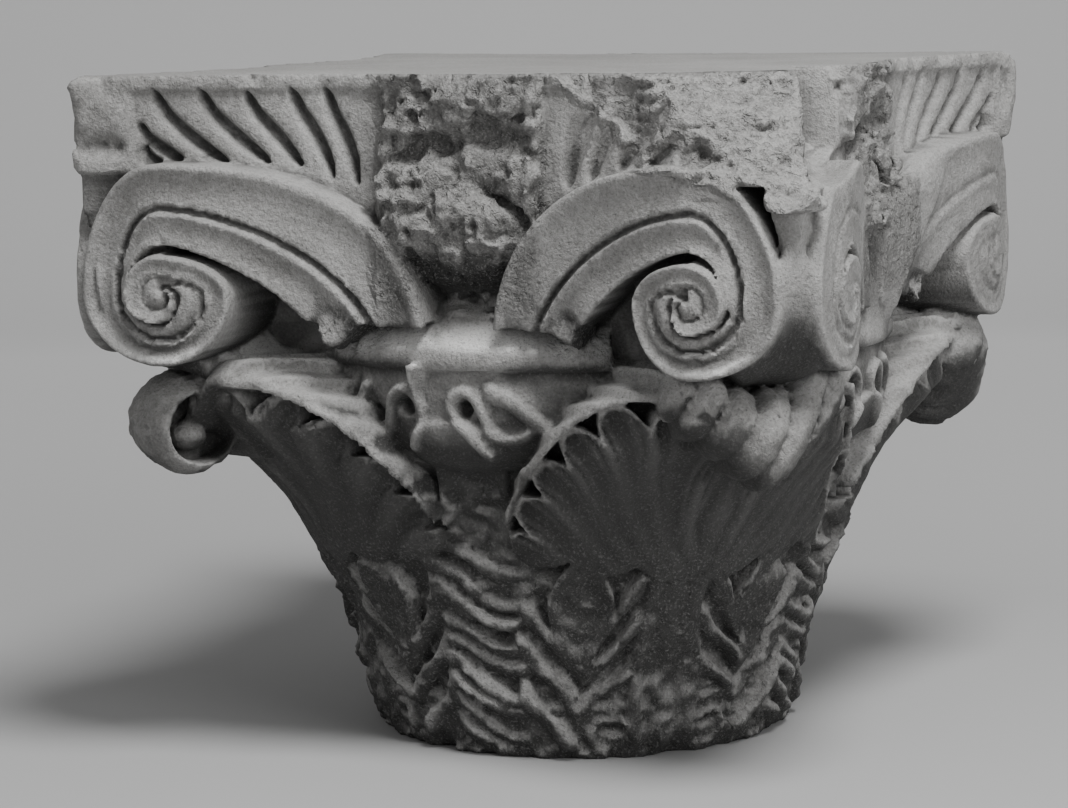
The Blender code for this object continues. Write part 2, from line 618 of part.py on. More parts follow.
def stone(x, y, z):
    """The field of the whole capital at points given by their coordinates."""
    depths = np.stack([-y, x, y, -x])
    face = depths.argmax(0)
    depth = depths.max(0)
    across = np.choose(face, [x, y, -x, -y])
    along = np.abs(across)
    radius = np.hypot(x, y)
    turn = np.degrees(np.arctan2(across, depth))
    corner = np.where(across >= 0.0, face, (face + 3) % 4)
    reach = np.array(CORNER_REACHES)[corner]
    slab_reach = np.array(SLAB_CORNER_REACHES)[corner]
    carved = np.where((face == 1) & (across < 0.0), 0.0, 1.0)
    curls = [np.array(values)[corner] for values in (CURL_HEIGHTS, CURL_RADII, CURL_HALF_LENGTHS, CURL_FLUTES)]
    curls = np.stack([reach - np.array(CURL_INSETS)[corner]] + curls)

    body = np.maximum(depth - CORE_HALF_WIDTH, CORE_BOTTOM - z)
    low = z < LEAF_TOP + MARGIN
    body = join(body, where_near(low, leafy_bell, turn, radius, z, reach), SEAM)
    near_lip = (z > BAND_BOTTOM - MARGIN) & (z < LIP_TOP + 2.0 * MARGIN)
    body = join(body, where_near(near_lip, lip, turn, radius, z), SEAM)
    high = z > SLAB_BOTTOM - FIELD_DROP - MARGIN
    body = join(body, where_near(high, slab, along, depth, z, slab_reach, carved), SEAM)
    near_volute = z > EYE_HEIGHT - OUTER_TURNS[2] - MARGIN
    body = join(body, where_near(near_volute, volute, along, depth, z, reach), SEAM)
    near_strip = (z > LEAF_TIP_HEIGHT - MARGIN) & (along > CORNER_FORMS_START)
    body = join(body, where_near(near_strip, corner_strip, along, depth, z, reach, slab_reach), SEAM)
    near_curl = (np.abs(z - curls[1]) < curls[2] + MARGIN) & (along > CORNER_FORMS_START)
    body = join(body, where_near(near_curl, curl, along, depth, z, curls, x, y), SEAM)
    near_boss = (z > BOSS_FOOT - MARGIN) & (along < BOSS_HALF_WIDTH + MARGIN)
    near_boss = near_boss & (depth > SLAB_WAIST - 2.0 * MARGIN)
    body = join(body, where_near(near_boss, boss, across, depth, z, x, y, z), FILLET)
    near_break = (x > 0.0) & (y < BREAK_BACK)
    body = np.maximum(body, np.where(near_break, where_near(near_break, broken, x, y, z), -FAR_OUTSIDE))
    return np.maximum(body, np.maximum(-z, z - HEIGHT))


def touched_blocks(values):
    """Blocks that the surface may pass through, and their neighbours."""
    near = np.abs(values) < 1.5 * BLOCK * VOXEL
    inside = values < 0.0
    for axis in range(3):
        change = np.diff(inside, axis=axis)
        pads = [(0, 0)] * 3
        for pad in ((0, 1), (1, 0)):
            pads[axis] = pad
            near |= np.pad(change, pads)
    for axis in range(3):
        near = near | np.roll(near, 1, axis) | np.roll(near, -1, axis)
    return np.argwhere(near)


def field_grid(low, counts):
    """The field on a regular grid, worked out point by point only in the blocks near the surface."""
    middles = [VOXEL * (BLOCK * np.arange(count) + (BLOCK - 1) / 2.0) for count in counts]
    x, y, z = np.meshgrid(*[start + middle for start, middle in zip(low, middles)], indexing="ij")
    coarse = stone(x.ravel(), y.ravel(), z.ravel()).reshape(counts)
    grid = coarse.repeat(BLOCK, 0).repeat(BLOCK, 1).repeat(BLOCK, 2).astype(np.float32)
    inside_block = np.stack(np.meshgrid(*[np.arange(BLOCK)] * 3, indexing="ij"), -1).reshape(-1, 3)
    blocks = touched_blocks(coarse)
    for part in np.array_split(blocks, max(1, len(blocks) // 4000)):
        cells = (part[:, None, :] * BLOCK + inside_block).reshape(-1, 3)
        points = cells * VOXEL + np.array(low)
        grid[tuple(cells.T)] = stone(*points.T)
    return grid


def stone_material():
    material = bpy.data.materials.new("weathered_stone")
    material.use_nodes = True
    shader = material.node_tree.nodes["Principled BSDF"]
    shader.inputs["Base Color"].default_value = STONE_COLOUR
    shader.inputs["Roughness"].default_value = 0.85
    shader.inputs["Metallic"].default_value = 0.0
    return material


def without_crumbs(mesh):
    """Takes out the loose folded triangles that the thinning leaves: pieces of only a few corners."""
    work = bmesh.new()
    work.from_mesh(mesh)
    seen = set()
    crumbs = []
    for start in work.verts:
        if start in seen:
            continue
        piece = {start}
        edge = [start]
        while edge:
            for link in edge.pop().link_edges:
                for vertex in link.verts:
                    if vertex not in piece:
                        piece.add(vertex)
                        edge.append(vertex)
        seen |= piece
        if len(piece) < CRUMB_CORNERS:
            crumbs += piece
    bmesh.ops.delete(work, geom=crumbs, context="VERTS")
    work.to_mesh(mesh)
    work.free()


def thinned(capital, faces):
    """The object's mesh with few faces, and its two beds exactly flat."""
    thin = capital.modifiers.new("thin", "DECIMATE")
    thin.ratio = TRIANGLES / faces
    evaluated = capital.evaluated_get(bpy.context.evaluated_depsgraph_get())
    mesh = bpy.data.meshes.new_from_object(evaluated)
    without_crumbs(mesh)
    for vertex in mesh.vertices:
        for bed in (0.0, HEIGHT):
            if abs(vertex.co.z - bed) < BED_TOLERANCE:
                vertex.co.z = bed
    return mesh


def carve():
    """The capital as an object: the zero surface of the field, thinned to few faces."""
    span = BLOCK * VOXEL
    half_count = math.ceil(HALF_EXTENT / span)
    low = (-half_count * span, -half_count * span, -span)
    counts = (2 * half_count, 2 * half_count, math.ceil(HEIGHT / span) + 2)
    grid = openvdb.FloatGrid(span)
    grid.copyFromArray(np.clip(field_grid(low, counts), -span, span))
    points, triangles, quads = grid.convertToPolygons(isovalue=0.0, adaptivity=0.0)
    mesh = bpy.data.meshes.new(NAME)
    mesh.from_pydata((points * VOXEL + np.array(low)).tolist(), [], quads.tolist() + triangles.tolist())
    capital = bpy.data.objects.new(NAME, mesh)
    bpy.context.scene.collection.objects.link(capital)
    thin_mesh = thinned(capital, 2 * len(quads) + len(triangles))
    capital.modifiers.clear()
    capital.data = thin_mesh
    thin_mesh.materials.append(stone_material())


for left_over in list(bpy.data.objects):
    bpy.data.objects.remove(left_over)
carve()
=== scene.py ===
import math

import bmesh
import bpy
import numpy as np
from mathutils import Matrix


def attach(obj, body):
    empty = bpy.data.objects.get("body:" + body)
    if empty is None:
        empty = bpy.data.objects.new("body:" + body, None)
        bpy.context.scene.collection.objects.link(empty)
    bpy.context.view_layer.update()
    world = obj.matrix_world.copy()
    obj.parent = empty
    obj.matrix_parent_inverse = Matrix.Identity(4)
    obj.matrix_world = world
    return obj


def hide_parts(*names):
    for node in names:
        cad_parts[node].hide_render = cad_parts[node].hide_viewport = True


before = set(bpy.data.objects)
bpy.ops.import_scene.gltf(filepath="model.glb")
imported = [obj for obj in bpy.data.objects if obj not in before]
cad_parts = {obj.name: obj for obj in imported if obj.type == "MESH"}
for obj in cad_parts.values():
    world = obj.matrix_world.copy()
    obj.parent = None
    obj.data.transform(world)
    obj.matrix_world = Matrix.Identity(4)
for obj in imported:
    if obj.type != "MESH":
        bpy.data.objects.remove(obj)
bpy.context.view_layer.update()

import openvdb
from mathutils import Matrix, Vector

# The capital: one block of grey marble, carved in the round with the point, the flat chisel and the drill.
# It has a round leafy bell, a leaf under each corner, eight volutes and a hollow-sided slab, and it stands
# on its lower bed. The stone is a field that is below zero inside it, and each carved form is one function.
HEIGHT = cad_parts["column_capital"].dimensions.z
CORNER_REACHES = (0.285, 0.293, 0.300, 0.303)
MEAN_REACH = 0.300
CORE_DEPTH = 0.158
CORE_FOOT = 0.190


def smooth(share):
    return share * share * (3.0 - 2.0 * share)


def ramp(value, low, high):
    return smooth(np.clip((value - low) / (high - low), 0.0, 1.0))


def join(first, second, blend):
    share = np.clip(0.5 + 0.5 * (second - first) / blend, 0.0, 1.0)
    return second * (1.0 - share) + first * share - blend * share * (1.0 - share)


def meet(first, second, blend):
    return -join(-first, -second, blend)


def bump(value, half_width):
    """1 at zero, falling smoothly to 0 at a half width on either side."""
    return smooth(np.clip(1.0 - np.abs(value) / half_width, 0.0, 1.0))


def bead(off):
    """A half-round profile: 1 at zero and 0 from one half width out."""
    return np.sqrt(np.clip(1.0 - off**2, 0.0, 1.0))


def to_corner(along, depth):
    """How far out a point is along the corner's diagonal, and how far off it to the side."""
    return (along + depth) / math.sqrt(2.0), (depth - along) / math.sqrt(2.0)


def lattice(column, row, layer):
    """A fixed number from 0 to 1 for each point of a lattice."""
    mixed = column * 374761393 + row * 668265263 + layer * 2147483647
    mixed = (mixed ^ (mixed >> 13)) * 1274126177
    return ((mixed ^ (mixed >> 16)) & 65535) / 65535.0


def grain(x, y, z, size):
    """Smooth noise from -1 to 1 whose lumps are about a size across."""
    cells = [np.floor(value / size).astype(np.int64) for value in (x, y, z)]
    shares = [value / size - cell for value, cell in zip((x, y, z), cells)]
    shares = [smooth(share) for share in shares]
    total = np.zeros(len(x))
    for i in (0, 1):
        wide = shares[0] if i else 1.0 - shares[0]
        for j in (0, 1):
            deep = wide * (shares[1] if j else 1.0 - shares[1])
            for k in (0, 1):
                weight = deep * (shares[2] if k else 1.0 - shares[2])
                total += weight * lattice(cells[0] + i, cells[1] + j, cells[2] + k)
    return total * 2.0 - 1.0


def rubble(x, y, z, size):
    """Broken stone: four sizes of lump, one inside the other, with the small ones cut into facets."""
    lumps = grain(x, y, z, size)
    lumps += 0.55 * grain(x + size, y, z, size / 2.1)
    lumps += 0.35 * (2.0 * np.abs(grain(x, y + size, z, size / 4.3)) - 1.0)
    lumps += 0.20 * grain(x, y, z + size, size / 8.0)
    return lumps / 2.1


def crag(x, y, z, size):
    """Broken stone with sharp creases, from -1 to 1."""
    first = 1.0 - 2.0 * np.abs(grain(x, y, z, size)) ** 0.8
    return 0.7 * first + 0.3 * (1.0 - 2.0 * np.abs(grain(y, z, x, size / 2.3)))


def where_near(near, field, *values):
    """A field worked out only where a test holds, and far outside the stone elsewhere."""
    result = np.full(near.shape, 0.05)
    if near.any():
        result[near] = field(*[value[near] for value in values])
    return result


# The slab on top: hollow sides, a plain fillet along the top edge, plain corner blocks, and between them
# and the middle a row of leaning fronds, left standing between grooves cut with a round chisel.
SLAB_BOTTOM = 0.345
SLAB_HALF_WIDTH = 0.227
SLAB_WAIST = 0.181
SLAB_CORNER_REACHES = (0.3040, 0.3040, 0.3035, 0.3150)
BLOCK_UNDERCUT = 0.35
BLOCK_UNDERCUT_TOP = 0.356
BLOCK_START = 0.189
BLOCK_DEPTH = 0.2150
FILLET_HEIGHT = 0.008
FIELD_RECESS = 0.003
FIELD_DROP = 0.060
FROND_GROOVES = (
    (0.180, 0.390, 0.136, 0.350, -0.0035),
    (0.155, 0.390, 0.113, 0.350, -0.0020),
    (0.130, 0.388, 0.095, 0.348, 0.0008),
    (0.105, 0.391, 0.077, 0.342, 0.0028),
    (0.085, 0.391, 0.063, 0.338, 0.0034),
    (0.188, 0.370, 0.160, 0.350, -0.0012),
    (0.187, 0.358, 0.172, 0.346, 0.0),
)
FROND_GROOVE_HALF_WIDTH = 0.0050
FROND_GROOVE_DEPTH = 0.0085
FRONDS_START = 0.056
FROND_WIDENING = 1.6
SLAB_WEAR = 0.0010
BLOCK_WEAR = 0.0060
SLAB_RUBBLE_SIZE = 0.018
CHIP_DEPTH = 0.016
CHIP_RUN = 0.006
CHIP_SIZE = 0.022
NEAR_SAG = 0.017


def slab_face(along):
    hollow = (BLOCK_DEPTH - SLAB_WAIST) * (np.minimum(along, BLOCK_START) / BLOCK_START) ** 2
    slope = (SLAB_HALF_WIDTH - BLOCK_DEPTH) / (SLAB_HALF_WIDTH - BLOCK_START)
    return SLAB_WAIST + hollow + slope * np.maximum(along - BLOCK_START, 0.0)


def frond_grooves(along, height, widen):
    deepest = np.zeros_like(along)
    for top_along, top, foot_along, foot, bow in FROND_GROOVES:
        run, fall = foot_along - top_along, foot - top
        length = math.hypot(run, fall)
        share = ((along - top_along) * run + (height - top) * fall) / length**2
        off = ((along - top_along) * fall - (height - top) * run) / length
        swell = np.clip(4.0 * share * (1.0 - share), 0.0, 1.0)
        hook = 0.004 * np.clip(0.25 - share, 0.0, 0.25) * 4.0
        width = widen * FROND_GROOVE_HALF_WIDTH * swell**0.45 + 1e-5
        cut = np.clip(1.0 - ((off - bow * swell - hook) / width) ** 2, 0.0, 1.0)
        deepest = np.maximum(deepest, np.where((share > 0.0) & (share < 1.0), FROND_GROOVE_DEPTH * cut, 0.0))
    return deepest


def slab(along, depth, height, corner_reach, carved, widen, x, y, z):
    """The slab's field. It is uncarved where that share is 0, and sags to the near corner's fin."""
    out, _ = to_corner(along, depth)
    field = ramp(HEIGHT - height, FILLET_HEIGHT, FILLET_HEIGHT + 0.002)
    field = field * ramp(BLOCK_START - along, 0.0, 0.002)
    grooves = carved * frond_grooves(along, height, widen) * ramp(along, FRONDS_START, FRONDS_START + 0.004)
    face = slab_face(along) - FIELD_RECESS * field - grooves
    block = ramp(along, BLOCK_START - 0.002, BLOCK_START + 0.006)
    wear = SLAB_WEAR + BLOCK_WEAR * np.maximum(block, 1.0 - carved)
    face = face + wear * rubble(x, y, z, SLAB_RUBBLE_SIZE) + 0.0008 * grain(x, y, z, 0.045)
    bottom = SLAB_BOTTOM - FIELD_DROP * (1.0 - ramp(along, 0.085, 0.120))
    bottom = bottom - NEAR_SAG * ramp(x - y, 0.26, 0.32)
    undercut = BLOCK_UNDERCUT * np.maximum(BLOCK_UNDERCUT_TOP - height, 0.0)
    solid = meet(depth - face, out - corner_reach + undercut - 0.003 * grain(x, y, z, 0.022), 0.006)
    edge = np.maximum(HEIGHT - height, 0.0)
    chips = np.clip(rubble(x + 0.3, y, z, CHIP_SIZE) + 0.18, 0.0, 1.0)
    chipped = solid + CHIP_DEPTH * np.exp(-edge / CHIP_RUN) * chips
    return meet(chipped, bottom - height + 0.001 * grain(x, y, z, 0.015), 0.003)


# The stump of the flower in the middle of each face. It was carved from the same block and knocked off long
# ago, so it is coarse broken stone with a lump, two crevices and a notch.
BOSS_HALF_WIDTH = 0.049
BOSS_FOOT = 0.263
BOSS_SHOULDER = 0.330
BOSS_STEM_HALF_WIDTH = 0.016
RIGHT_BOSS_SHIFT = 0.014
BOSS_LUMP = (0.012, -0.008, 0.316, 0.034, 0.026)
BOSS_NOTCH = (0.012, 0.026, 0.366, 0.014, 0.009)
BOSS_ROUGHNESS = 0.0080
BOSS_CRAGS = 0.0062
BOSS_FINE_CRAGS = 0.0038


def mound(across, height, form):
    """A rounded lump, given by its depth, its place across and up, and its half width and half height."""
    size, middle_across, middle_height, half_width, half_height = form
    up, side = (height - middle_height) / half_height, (across - middle_across) / half_width
    return size * np.exp(-(up**2 + side**2))


def boss(across, depth, height, x, y, z):
    share = ramp(height, BOSS_FOOT, BOSS_SHOULDER)
    crevice_line = height - 0.366 - 0.35 * across + 0.008 * grain(x, y, z, 0.02)
    crevice = 0.018 * np.exp(-((crevice_line / 0.0055) ** 2)) * bump(across + 0.022, 0.044)
    second_line = height - 0.334 + 0.8 * (across - 0.02) + 0.006 * grain(x, y, z, 0.016)
    crevice = crevice + 0.011 * np.exp(-((second_line / 0.005) ** 2)) * bump(across - 0.022, 0.030)
    under = 0.012 * np.exp(-(((height - 0.276) / 0.012) ** 2))
    face = SLAB_WAIST - 0.006 + 0.010 * share + mound(across, height, BOSS_LUMP)
    face = face - crevice - mound(across, height, BOSS_NOTCH) - under
    face = face + BOSS_ROUGHNESS * rubble(x, y, z, 0.024) + BOSS_CRAGS * crag(x, y, z, 0.013)
    face = face + BOSS_FINE_CRAGS * crag(z, x, y, 0.0065)
    side = np.abs(across) - BOSS_STEM_HALF_WIDTH - (BOSS_HALF_WIDTH - BOSS_STEM_HALF_WIDTH) * share
    side = side - 0.006 * grain(x, y, z, 0.012)
    return np.maximum(meet(depth - face, side, 0.005), BOSS_FOOT - height)


# The volutes: two ribbons side by side spring from the lip, rise over the corner leaf and wind in to a
# small eye. Each ribbon is a shallow channel with a raised outer edge, cut with the flat chisel, and the
# space that they wind round is sunk deep with the drill.
RIBBON_START = 0.0245
EYE_ALONG = 0.1620
EYE_HEIGHT = 0.2770
REACH_TO_EYE = 1.20
STEM_RUN = 0.1145
VOLUTE_FACE = 0.2265
REACH_TO_FACE = 0.75
LIP_RADIUS = 0.190
LEG_DROP = 0.032
FOOT_LIFT = 0.014
OUTER_STEM = (0.1180, 0.0745, 2.3)
GROOVE_STEM = (0.0960, 0.0500, 1.7)
INNER_STEM = (0.0715, 0.0290, 1.5)
OUTER_TURNS = (0.0745, 0.0510, 0.0400, 0.0320, 0.0230, 0.0210, 0.0150, 0.0085, 0.0050)
GROOVE_TURNS = (0.0500, 0.0290, 0.0255, 0.0205, 0.0105, 0.0090, 0.0060, 0.0040, 0.0030)
GAP_TURN = 0.0290
CHANNEL_DEPTH = 0.0030
EDGE_RISE = 0.0016
GROOVE_HALF_WIDTH = 0.0024
GROOVE_DEPTH = 0.0075
GAP_DEPTH = 0.036
RIGHT_FACE_WEAR = 0.32
RIGHT_RIBBON_START = 0.0040
CORE_RISE = 0.0070


def eye_place(reach):
    return EYE_ALONG + (reach - MEAN_REACH) * REACH_TO_EYE


def volute_face(along, reach):
    eye = eye_place(reach)
    front = VOLUTE_FACE + (reach - MEAN_REACH) * REACH_TO_FACE
    rise = ramp(along, RIBBON_START - 0.01, eye + 0.01)
    return LIP_RADIUS + (front - LIP_RADIUS) * rise - 0.004 * ramp(along, eye, eye + 0.05)


def ribbon(share):
    """Relief across a ribbon, from its inner side at 0 to the raised edge on its outer side at 1."""
    channel = -CHANNEL_DEPTH * np.sin(np.pi * np.clip(share / 0.80, 0.0, 1.0)) ** 0.8
    return channel + EDGE_RISE * bump(share - 0.90, 0.16) * 1.2


def turn_edge(radii, winding, side, up, cosine, sine):
    """Distance from the eye to a spiral edge: each quarter turn is a quarter of an oval."""
    start = 4 * winding
    flank = np.where(side >= 0.0, radii[start + 1], radii[start + 3])
    upper = np.where(side >= 0.0, radii[start], radii[start + 4])
    upright = np.where(up >= 0.0, upper, radii[start + 2])
    return 1.0 / np.sqrt((cosine / flank) ** 2 + (sine / upright) ** 2)


def stem_edge(stem, side, lifted):
    """How far outside a ribbon's edge a point is, where the ribbon rises from the lip."""
    spread, rise, power = stem
    away = np.hypot(side, lifted) + 1e-6
    round_part = (np.abs(side) / away / spread) ** power
    upright_part = (np.maximum(lifted, 0.0) / away / (rise + LEG_DROP)) ** power
    return away - (round_part + upright_part) ** (-1.0 / power)


def thin_groove(distance):
    return GROOVE_DEPTH * bead(distance / GROOVE_HALF_WIDTH)


def volute(along, depth, height, reach, wear, start, x, y, z):
    eye = eye_place(reach)
    side = along - eye
    foot_lift = FOOT_LIFT * (1.0 - ramp(along, 0.052, 0.078)) + 0.003 * rubble(x, y, z, 0.014)
    stretch = (eye - start) / STEM_RUN
    side = np.where(side < 0.0, side / stretch, side)
    up = height - EYE_HEIGHT
    radius = np.hypot(side, up) + 1e-6
    place = (side, up, side / radius, up / radius)

    outer = turn_edge(OUTER_TURNS, 0, *place)
    groove = turn_edge(GROOVE_TURNS, 0, *place)
    core = turn_edge(OUTER_TURNS, 1, *place)
    core_groove = turn_edge(GROOVE_TURNS, 1, *place)
    over = (side >= 0.0) & (up >= 0.0)
    gap_edge = 1.0 / np.sqrt((place[2] / OUTER_TURNS[5]) ** 2 + (place[3] / GAP_TURN) ** 2)
    inner = np.where(over, np.maximum(gap_edge, core), core)

    first = ribbon((radius - groove) / (outer - groove))
    second = ribbon((radius - inner) / np.maximum(groove - inner, 1e-4))
    turned = ribbon((radius - core_groove) / np.maximum(core - core_groove, 1e-4))
    relief = np.where(radius > groove, first, second) - thin_groove(radius - groove + 0.001)
    relief = relief - thin_groove(radius - inner) * ~over
    gap = np.minimum(inner - radius, radius - core)
    relief = np.where(gap > 0.0, -np.minimum(GAP_DEPTH, 6.0 * gap), relief)
    rise = CORE_RISE * (1.0 - ramp(radius, 0.010, 0.036))
    relief = np.where(radius < core, turned - thin_groove(radius - core_groove) * 0.7, relief) + rise
    relief = np.where(radius < core_groove, 0.5 * CORE_RISE + 0.003 * bump(radius, 0.0045), relief)

    lifted = up + LEG_DROP
    to_outer = stem_edge(OUTER_STEM, side, lifted)
    to_groove = stem_edge(GROOVE_STEM, side, lifted)
    to_inner = stem_edge(INNER_STEM, side, lifted)
    stem_first = ribbon(to_groove / np.maximum(to_groove - to_outer, 1e-4))
    stem_second = ribbon(to_inner / np.maximum(to_inner - to_groove, 1e-4))
    stem_relief = np.where(to_groove > 0.0, stem_first, stem_second) - thin_groove(to_groove + 0.001)
    on_stem = (side < 0.0) & (to_inner > 0.0) & (radius > outer)
    relief = np.where(on_stem, stem_relief, relief)

    stem = np.maximum(np.maximum(to_outer, -to_inner), foot_lift - lifted)
    outside = np.minimum(np.where(side < 0.0, stem, 1.0), radius - outer)
    outside = np.minimum(outside, np.where(side >= 0.0, radius - outer, 1.0))
    relief = np.where(gap > 0.0, relief, relief * wear)
    rough = 0.0007 * grain(x, y, z, 0.030) + 0.0005 * grain(x, y, z, 0.009)
    return meet(depth - volute_face(along, reach) - relief - rough, outside, 0.0016)


# The strip that closes the corner between two volutes, hollowed along its middle, and the thin fin of stone
# that is left standing above it, up to the slab.
STRIP_HALF_WIDTH = 0.0150
STRIP_HOLLOW = 0.0045
STRIP_PROFILE_RADIUS = 0.057
STRIP_FOOT = 0.220
STRIP_FOOT_RISE = 0.80
STRIP_TOP = 0.320
STRIP_FLARE_LIMIT = 0.014
WEB_INSET = 0.045
WEB_SLOPE = 1.5
FIN_HALF_ANGLES = (33.0, 27.0, 27.0, 27.0)
WIDE_FIN_ANGLE = 50.0
FIN_SLOPE = 0.30
FIN_START = 0.295


def corner_strip(along, depth, height, reach, corner_reach, fin_angle):
    out, off = to_corner(along, depth)
    up = height - EYE_HEIGHT
    flare = np.clip(0.75 * (-0.022 - up), 0.0, STRIP_FLARE_LIMIT)
    half_width = STRIP_HALF_WIDTH + flare - 0.55 * np.maximum(up - 0.012, 0.0)
    bulge = np.sqrt(np.maximum(STRIP_PROFILE_RADIUS**2 - (up - 0.010) ** 2, 0.0))
    hollow = STRIP_HOLLOW * (1.0 - np.clip(off / STRIP_HALF_WIDTH, 0.0, 1.0) ** 2)
    profile = reach + 0.004 - STRIP_PROFILE_RADIUS + bulge - hollow
    foot = STRIP_FOOT + STRIP_FOOT_RISE * off - WEB_SLOPE * np.maximum(reach - WEB_INSET - out, 0.0)
    strip = np.maximum(out - profile, off - half_width)
    strip = np.maximum(strip, np.maximum(foot - height, height - STRIP_TOP))
    strip = np.maximum(strip, depth - volute_face(along, reach))
    apex = reach - 0.003 + FIN_SLOPE * (height - FIN_START)
    fin = off * np.cos(fin_angle) - (apex - out) * np.sin(fin_angle)
    fin = np.maximum(fin, np.maximum(EYE_HEIGHT - height, height - SLAB_BOTTOM - 0.003))
    fin = np.maximum(fin, np.maximum(out - corner_reach, depth - volute_face(along, reach) + 0.006))
    return join(strip, fin, 0.004)


# The low carving of the bell: two upright buds on each face, with ribs in a herringbone beside them, slanting
# ribs between, and a plain ribbed stalk under each corner leaf. It is set a little round from the slab.
BELL_FOOT_RADIUS = 0.124
BELL_SPREAD = 0.20
CORNER_SPREAD = 3.2
CORNER_SPREAD_START = 0.050
CARVING_TURN = 3.5
BUD_ANGLE = 23.5
BUD_HALF_WIDTH = 0.0175
BUD_POINT = 0.050
BUD_SHOULDER = 0.096
BUD_TOP = 0.124
BUD_RISE = 0.0055
GROUND_SINK = 0.0030
INNER_CHEVRONS = ((0.055, 1.30), (0.033, 1.10), (0.003, 1.20))
OUTER_CHEVRONS = ((0.064, 1.45), (0.0475, 1.15), (0.031, 0.75))
CHEVRON_DEPTH = 0.0090
CHEVRON_REACH = 0.033
STRIPES = ((0.133, 0.020), (0.118, 0.026), (0.102, 0.020), (0.085, 0.019), (0.071, 0.016), (0.060, 0.024),
           (0.047, 0.018), (0.036, 0.026), (0.020, 0.020))
STRIPE_HALF_WIDTH = 0.0058
STRIPE_RISE = 0.0085
STALK_HALF_WIDTH = 0.021


def openness(off_corner):
    return np.clip(np.cos(np.radians(2.0 * off_corner)), 0.0, 1.0) ** 1.2


def bell_radius(off_corner, height):
    corner = CORNER_SPREAD * np.maximum(height - CORNER_SPREAD_START, 0.0) ** 2
    return BELL_FOOT_RADIUS + BELL_SPREAD * height + corner * openness(off_corner)


def bell_carving(turn, height):
    """Relief round the bell, by the angle from the middle of a face in degrees."""
    radius = BELL_FOOT_RADIUS + BELL_SPREAD * height
    turn = (turn + CARVING_TURN + 45.0) % 90.0 - 45.0
    side = np.radians(BUD_ANGLE - np.abs(turn)) * radius
    below = BUD_HALF_WIDTH * np.clip((height - BUD_POINT) / (BUD_SHOULDER - BUD_POINT), 0.0, 1.0) ** 0.75
    risen = (height - BUD_SHOULDER) / (BUD_TOP - BUD_SHOULDER)
    arch = BUD_HALF_WIDTH * np.clip(1.0 - risen**2, 0.0, 1.0) ** 0.7
    outside = np.abs(side) - np.where(height < BUD_SHOULDER, below, arch)
    bud = (outside < 0.0) & (height > BUD_POINT) & (height < BUD_TOP)
    rim = bump(outside + 0.0022, 0.0022) * 0.0012
    relief = np.where(bud, BUD_RISE + rim, -GROUND_SINK)

    for chevrons, inward in ((INNER_CHEVRONS, True), (OUTER_CHEVRONS, False)):
        here = (side > 0.0) if inward else (side < 0.0)
        reach = np.abs(side)
        for foot, slope in chevrons:
            off = (height - foot - slope * reach) / math.sqrt(1.0 + slope * slope)
            width = (0.0056 if inward else 0.0044) * (1.0 + 0.25 * np.sin(reach * 260.0))
            rib = CHEVRON_DEPTH * bead(off / width) * ramp(CHEVRON_REACH - reach, -0.006, 0.002)
            relief = np.where(here & (outside > 0.0), np.maximum(relief, rib - GROUND_SINK), relief)

    middle = np.clip((turn + 13.5) / 22.0, 0.0, 1.0)
    fall = smooth(middle)
    inside_left = ramp(turn, -15.5, -13.0)
    inside_right = ramp(side, CHEVRON_REACH - 0.008, CHEVRON_REACH)
    for start, drop in STRIPES:
        steep = 6.0 * middle * (1.0 - middle) * drop / (math.radians(22.0) * 0.147)
        off = (height - start + drop * fall) / np.sqrt(1.0 + steep**2)
        width = STRIPE_HALF_WIDTH * (0.75 + 0.5 * bump(turn + 11.0, 5.0))
        rib = STRIPE_RISE * bead(off / width) * inside_left * inside_right
        relief = np.maximum(relief, np.where(np.abs(turn) < 20.0, rib - GROUND_SINK, relief))

    corner_side = np.radians(45.0 - np.abs(turn)) * radius
    stalk = 0.0030 + 0.0016 * np.cos(2.0 * np.pi * corner_side / 0.0150)
    on_stalk = ramp(STALK_HALF_WIDTH - corner_side, 0.0, 0.003) * (1.0 - ramp(height, 0.112, 0.124))
    relief = relief * (1.0 - on_stalk) + stalk * on_stalk

    foot_side = side + 0.020
    arch_off = np.hypot(foot_side, (height - 0.012) * 1.1) - 0.0115
    relief = np.where(height < 0.034, np.maximum(relief, 0.0035 * bump(arch_off, 0.0045)), relief)
    hole = np.hypot(foot_side / 0.0085, (height - 0.019) / 0.0035)
    return relief - 0.010 * np.clip(1.0 - hole, 0.0, 1.0) ** 0.5


# The lip of the bell between the volutes, and under it a rounded band with a ribbon that winds up and down
# round drilled holes over a short tongue.
LIP_TOP = 0.246
LIP_BOTTOM = 0.235
LIP_SLOPE = 0.95
LIP_HALF_ANGLE = 26.5
BAND_BOTTOM = 0.176
BAND_FOOT_RADIUS = 0.160
SERPENT_ROUTE = (
    (-0.0655, 0.2240), (-0.0720, 0.2120), (-0.0700, 0.2000), (-0.0600, 0.1935), (-0.0510, 0.1980),
    (-0.0490, 0.2100), (-0.0460, 0.2200), (-0.0370, 0.2245), (-0.0285, 0.2190), (-0.0260, 0.2090),
    (-0.0290, 0.1990), (-0.0330, 0.1900),
)
SERPENT_SECOND = (
    (0.0150, 0.1850), (0.0060, 0.1970), (-0.0060, 0.2100), (-0.0080, 0.2180), (-0.0010, 0.2245),
    (0.0080, 0.2210), (0.0120, 0.2110), (0.0160, 0.2010), (0.0250, 0.1945), (0.0350, 0.1960),
    (0.0410, 0.2010),
)
SERPENT_THIRD = ((0.0180, 0.2235), (0.0300, 0.2180), (0.0420, 0.2080), (0.0530, 0.1990))
SERPENT_HOLES = ((-0.0370, 0.2130), (0.0010, 0.2130), (-0.0600, 0.2080))
SERPENT_HALF_WIDTHS = (0.0036, 0.0036, 0.0052)
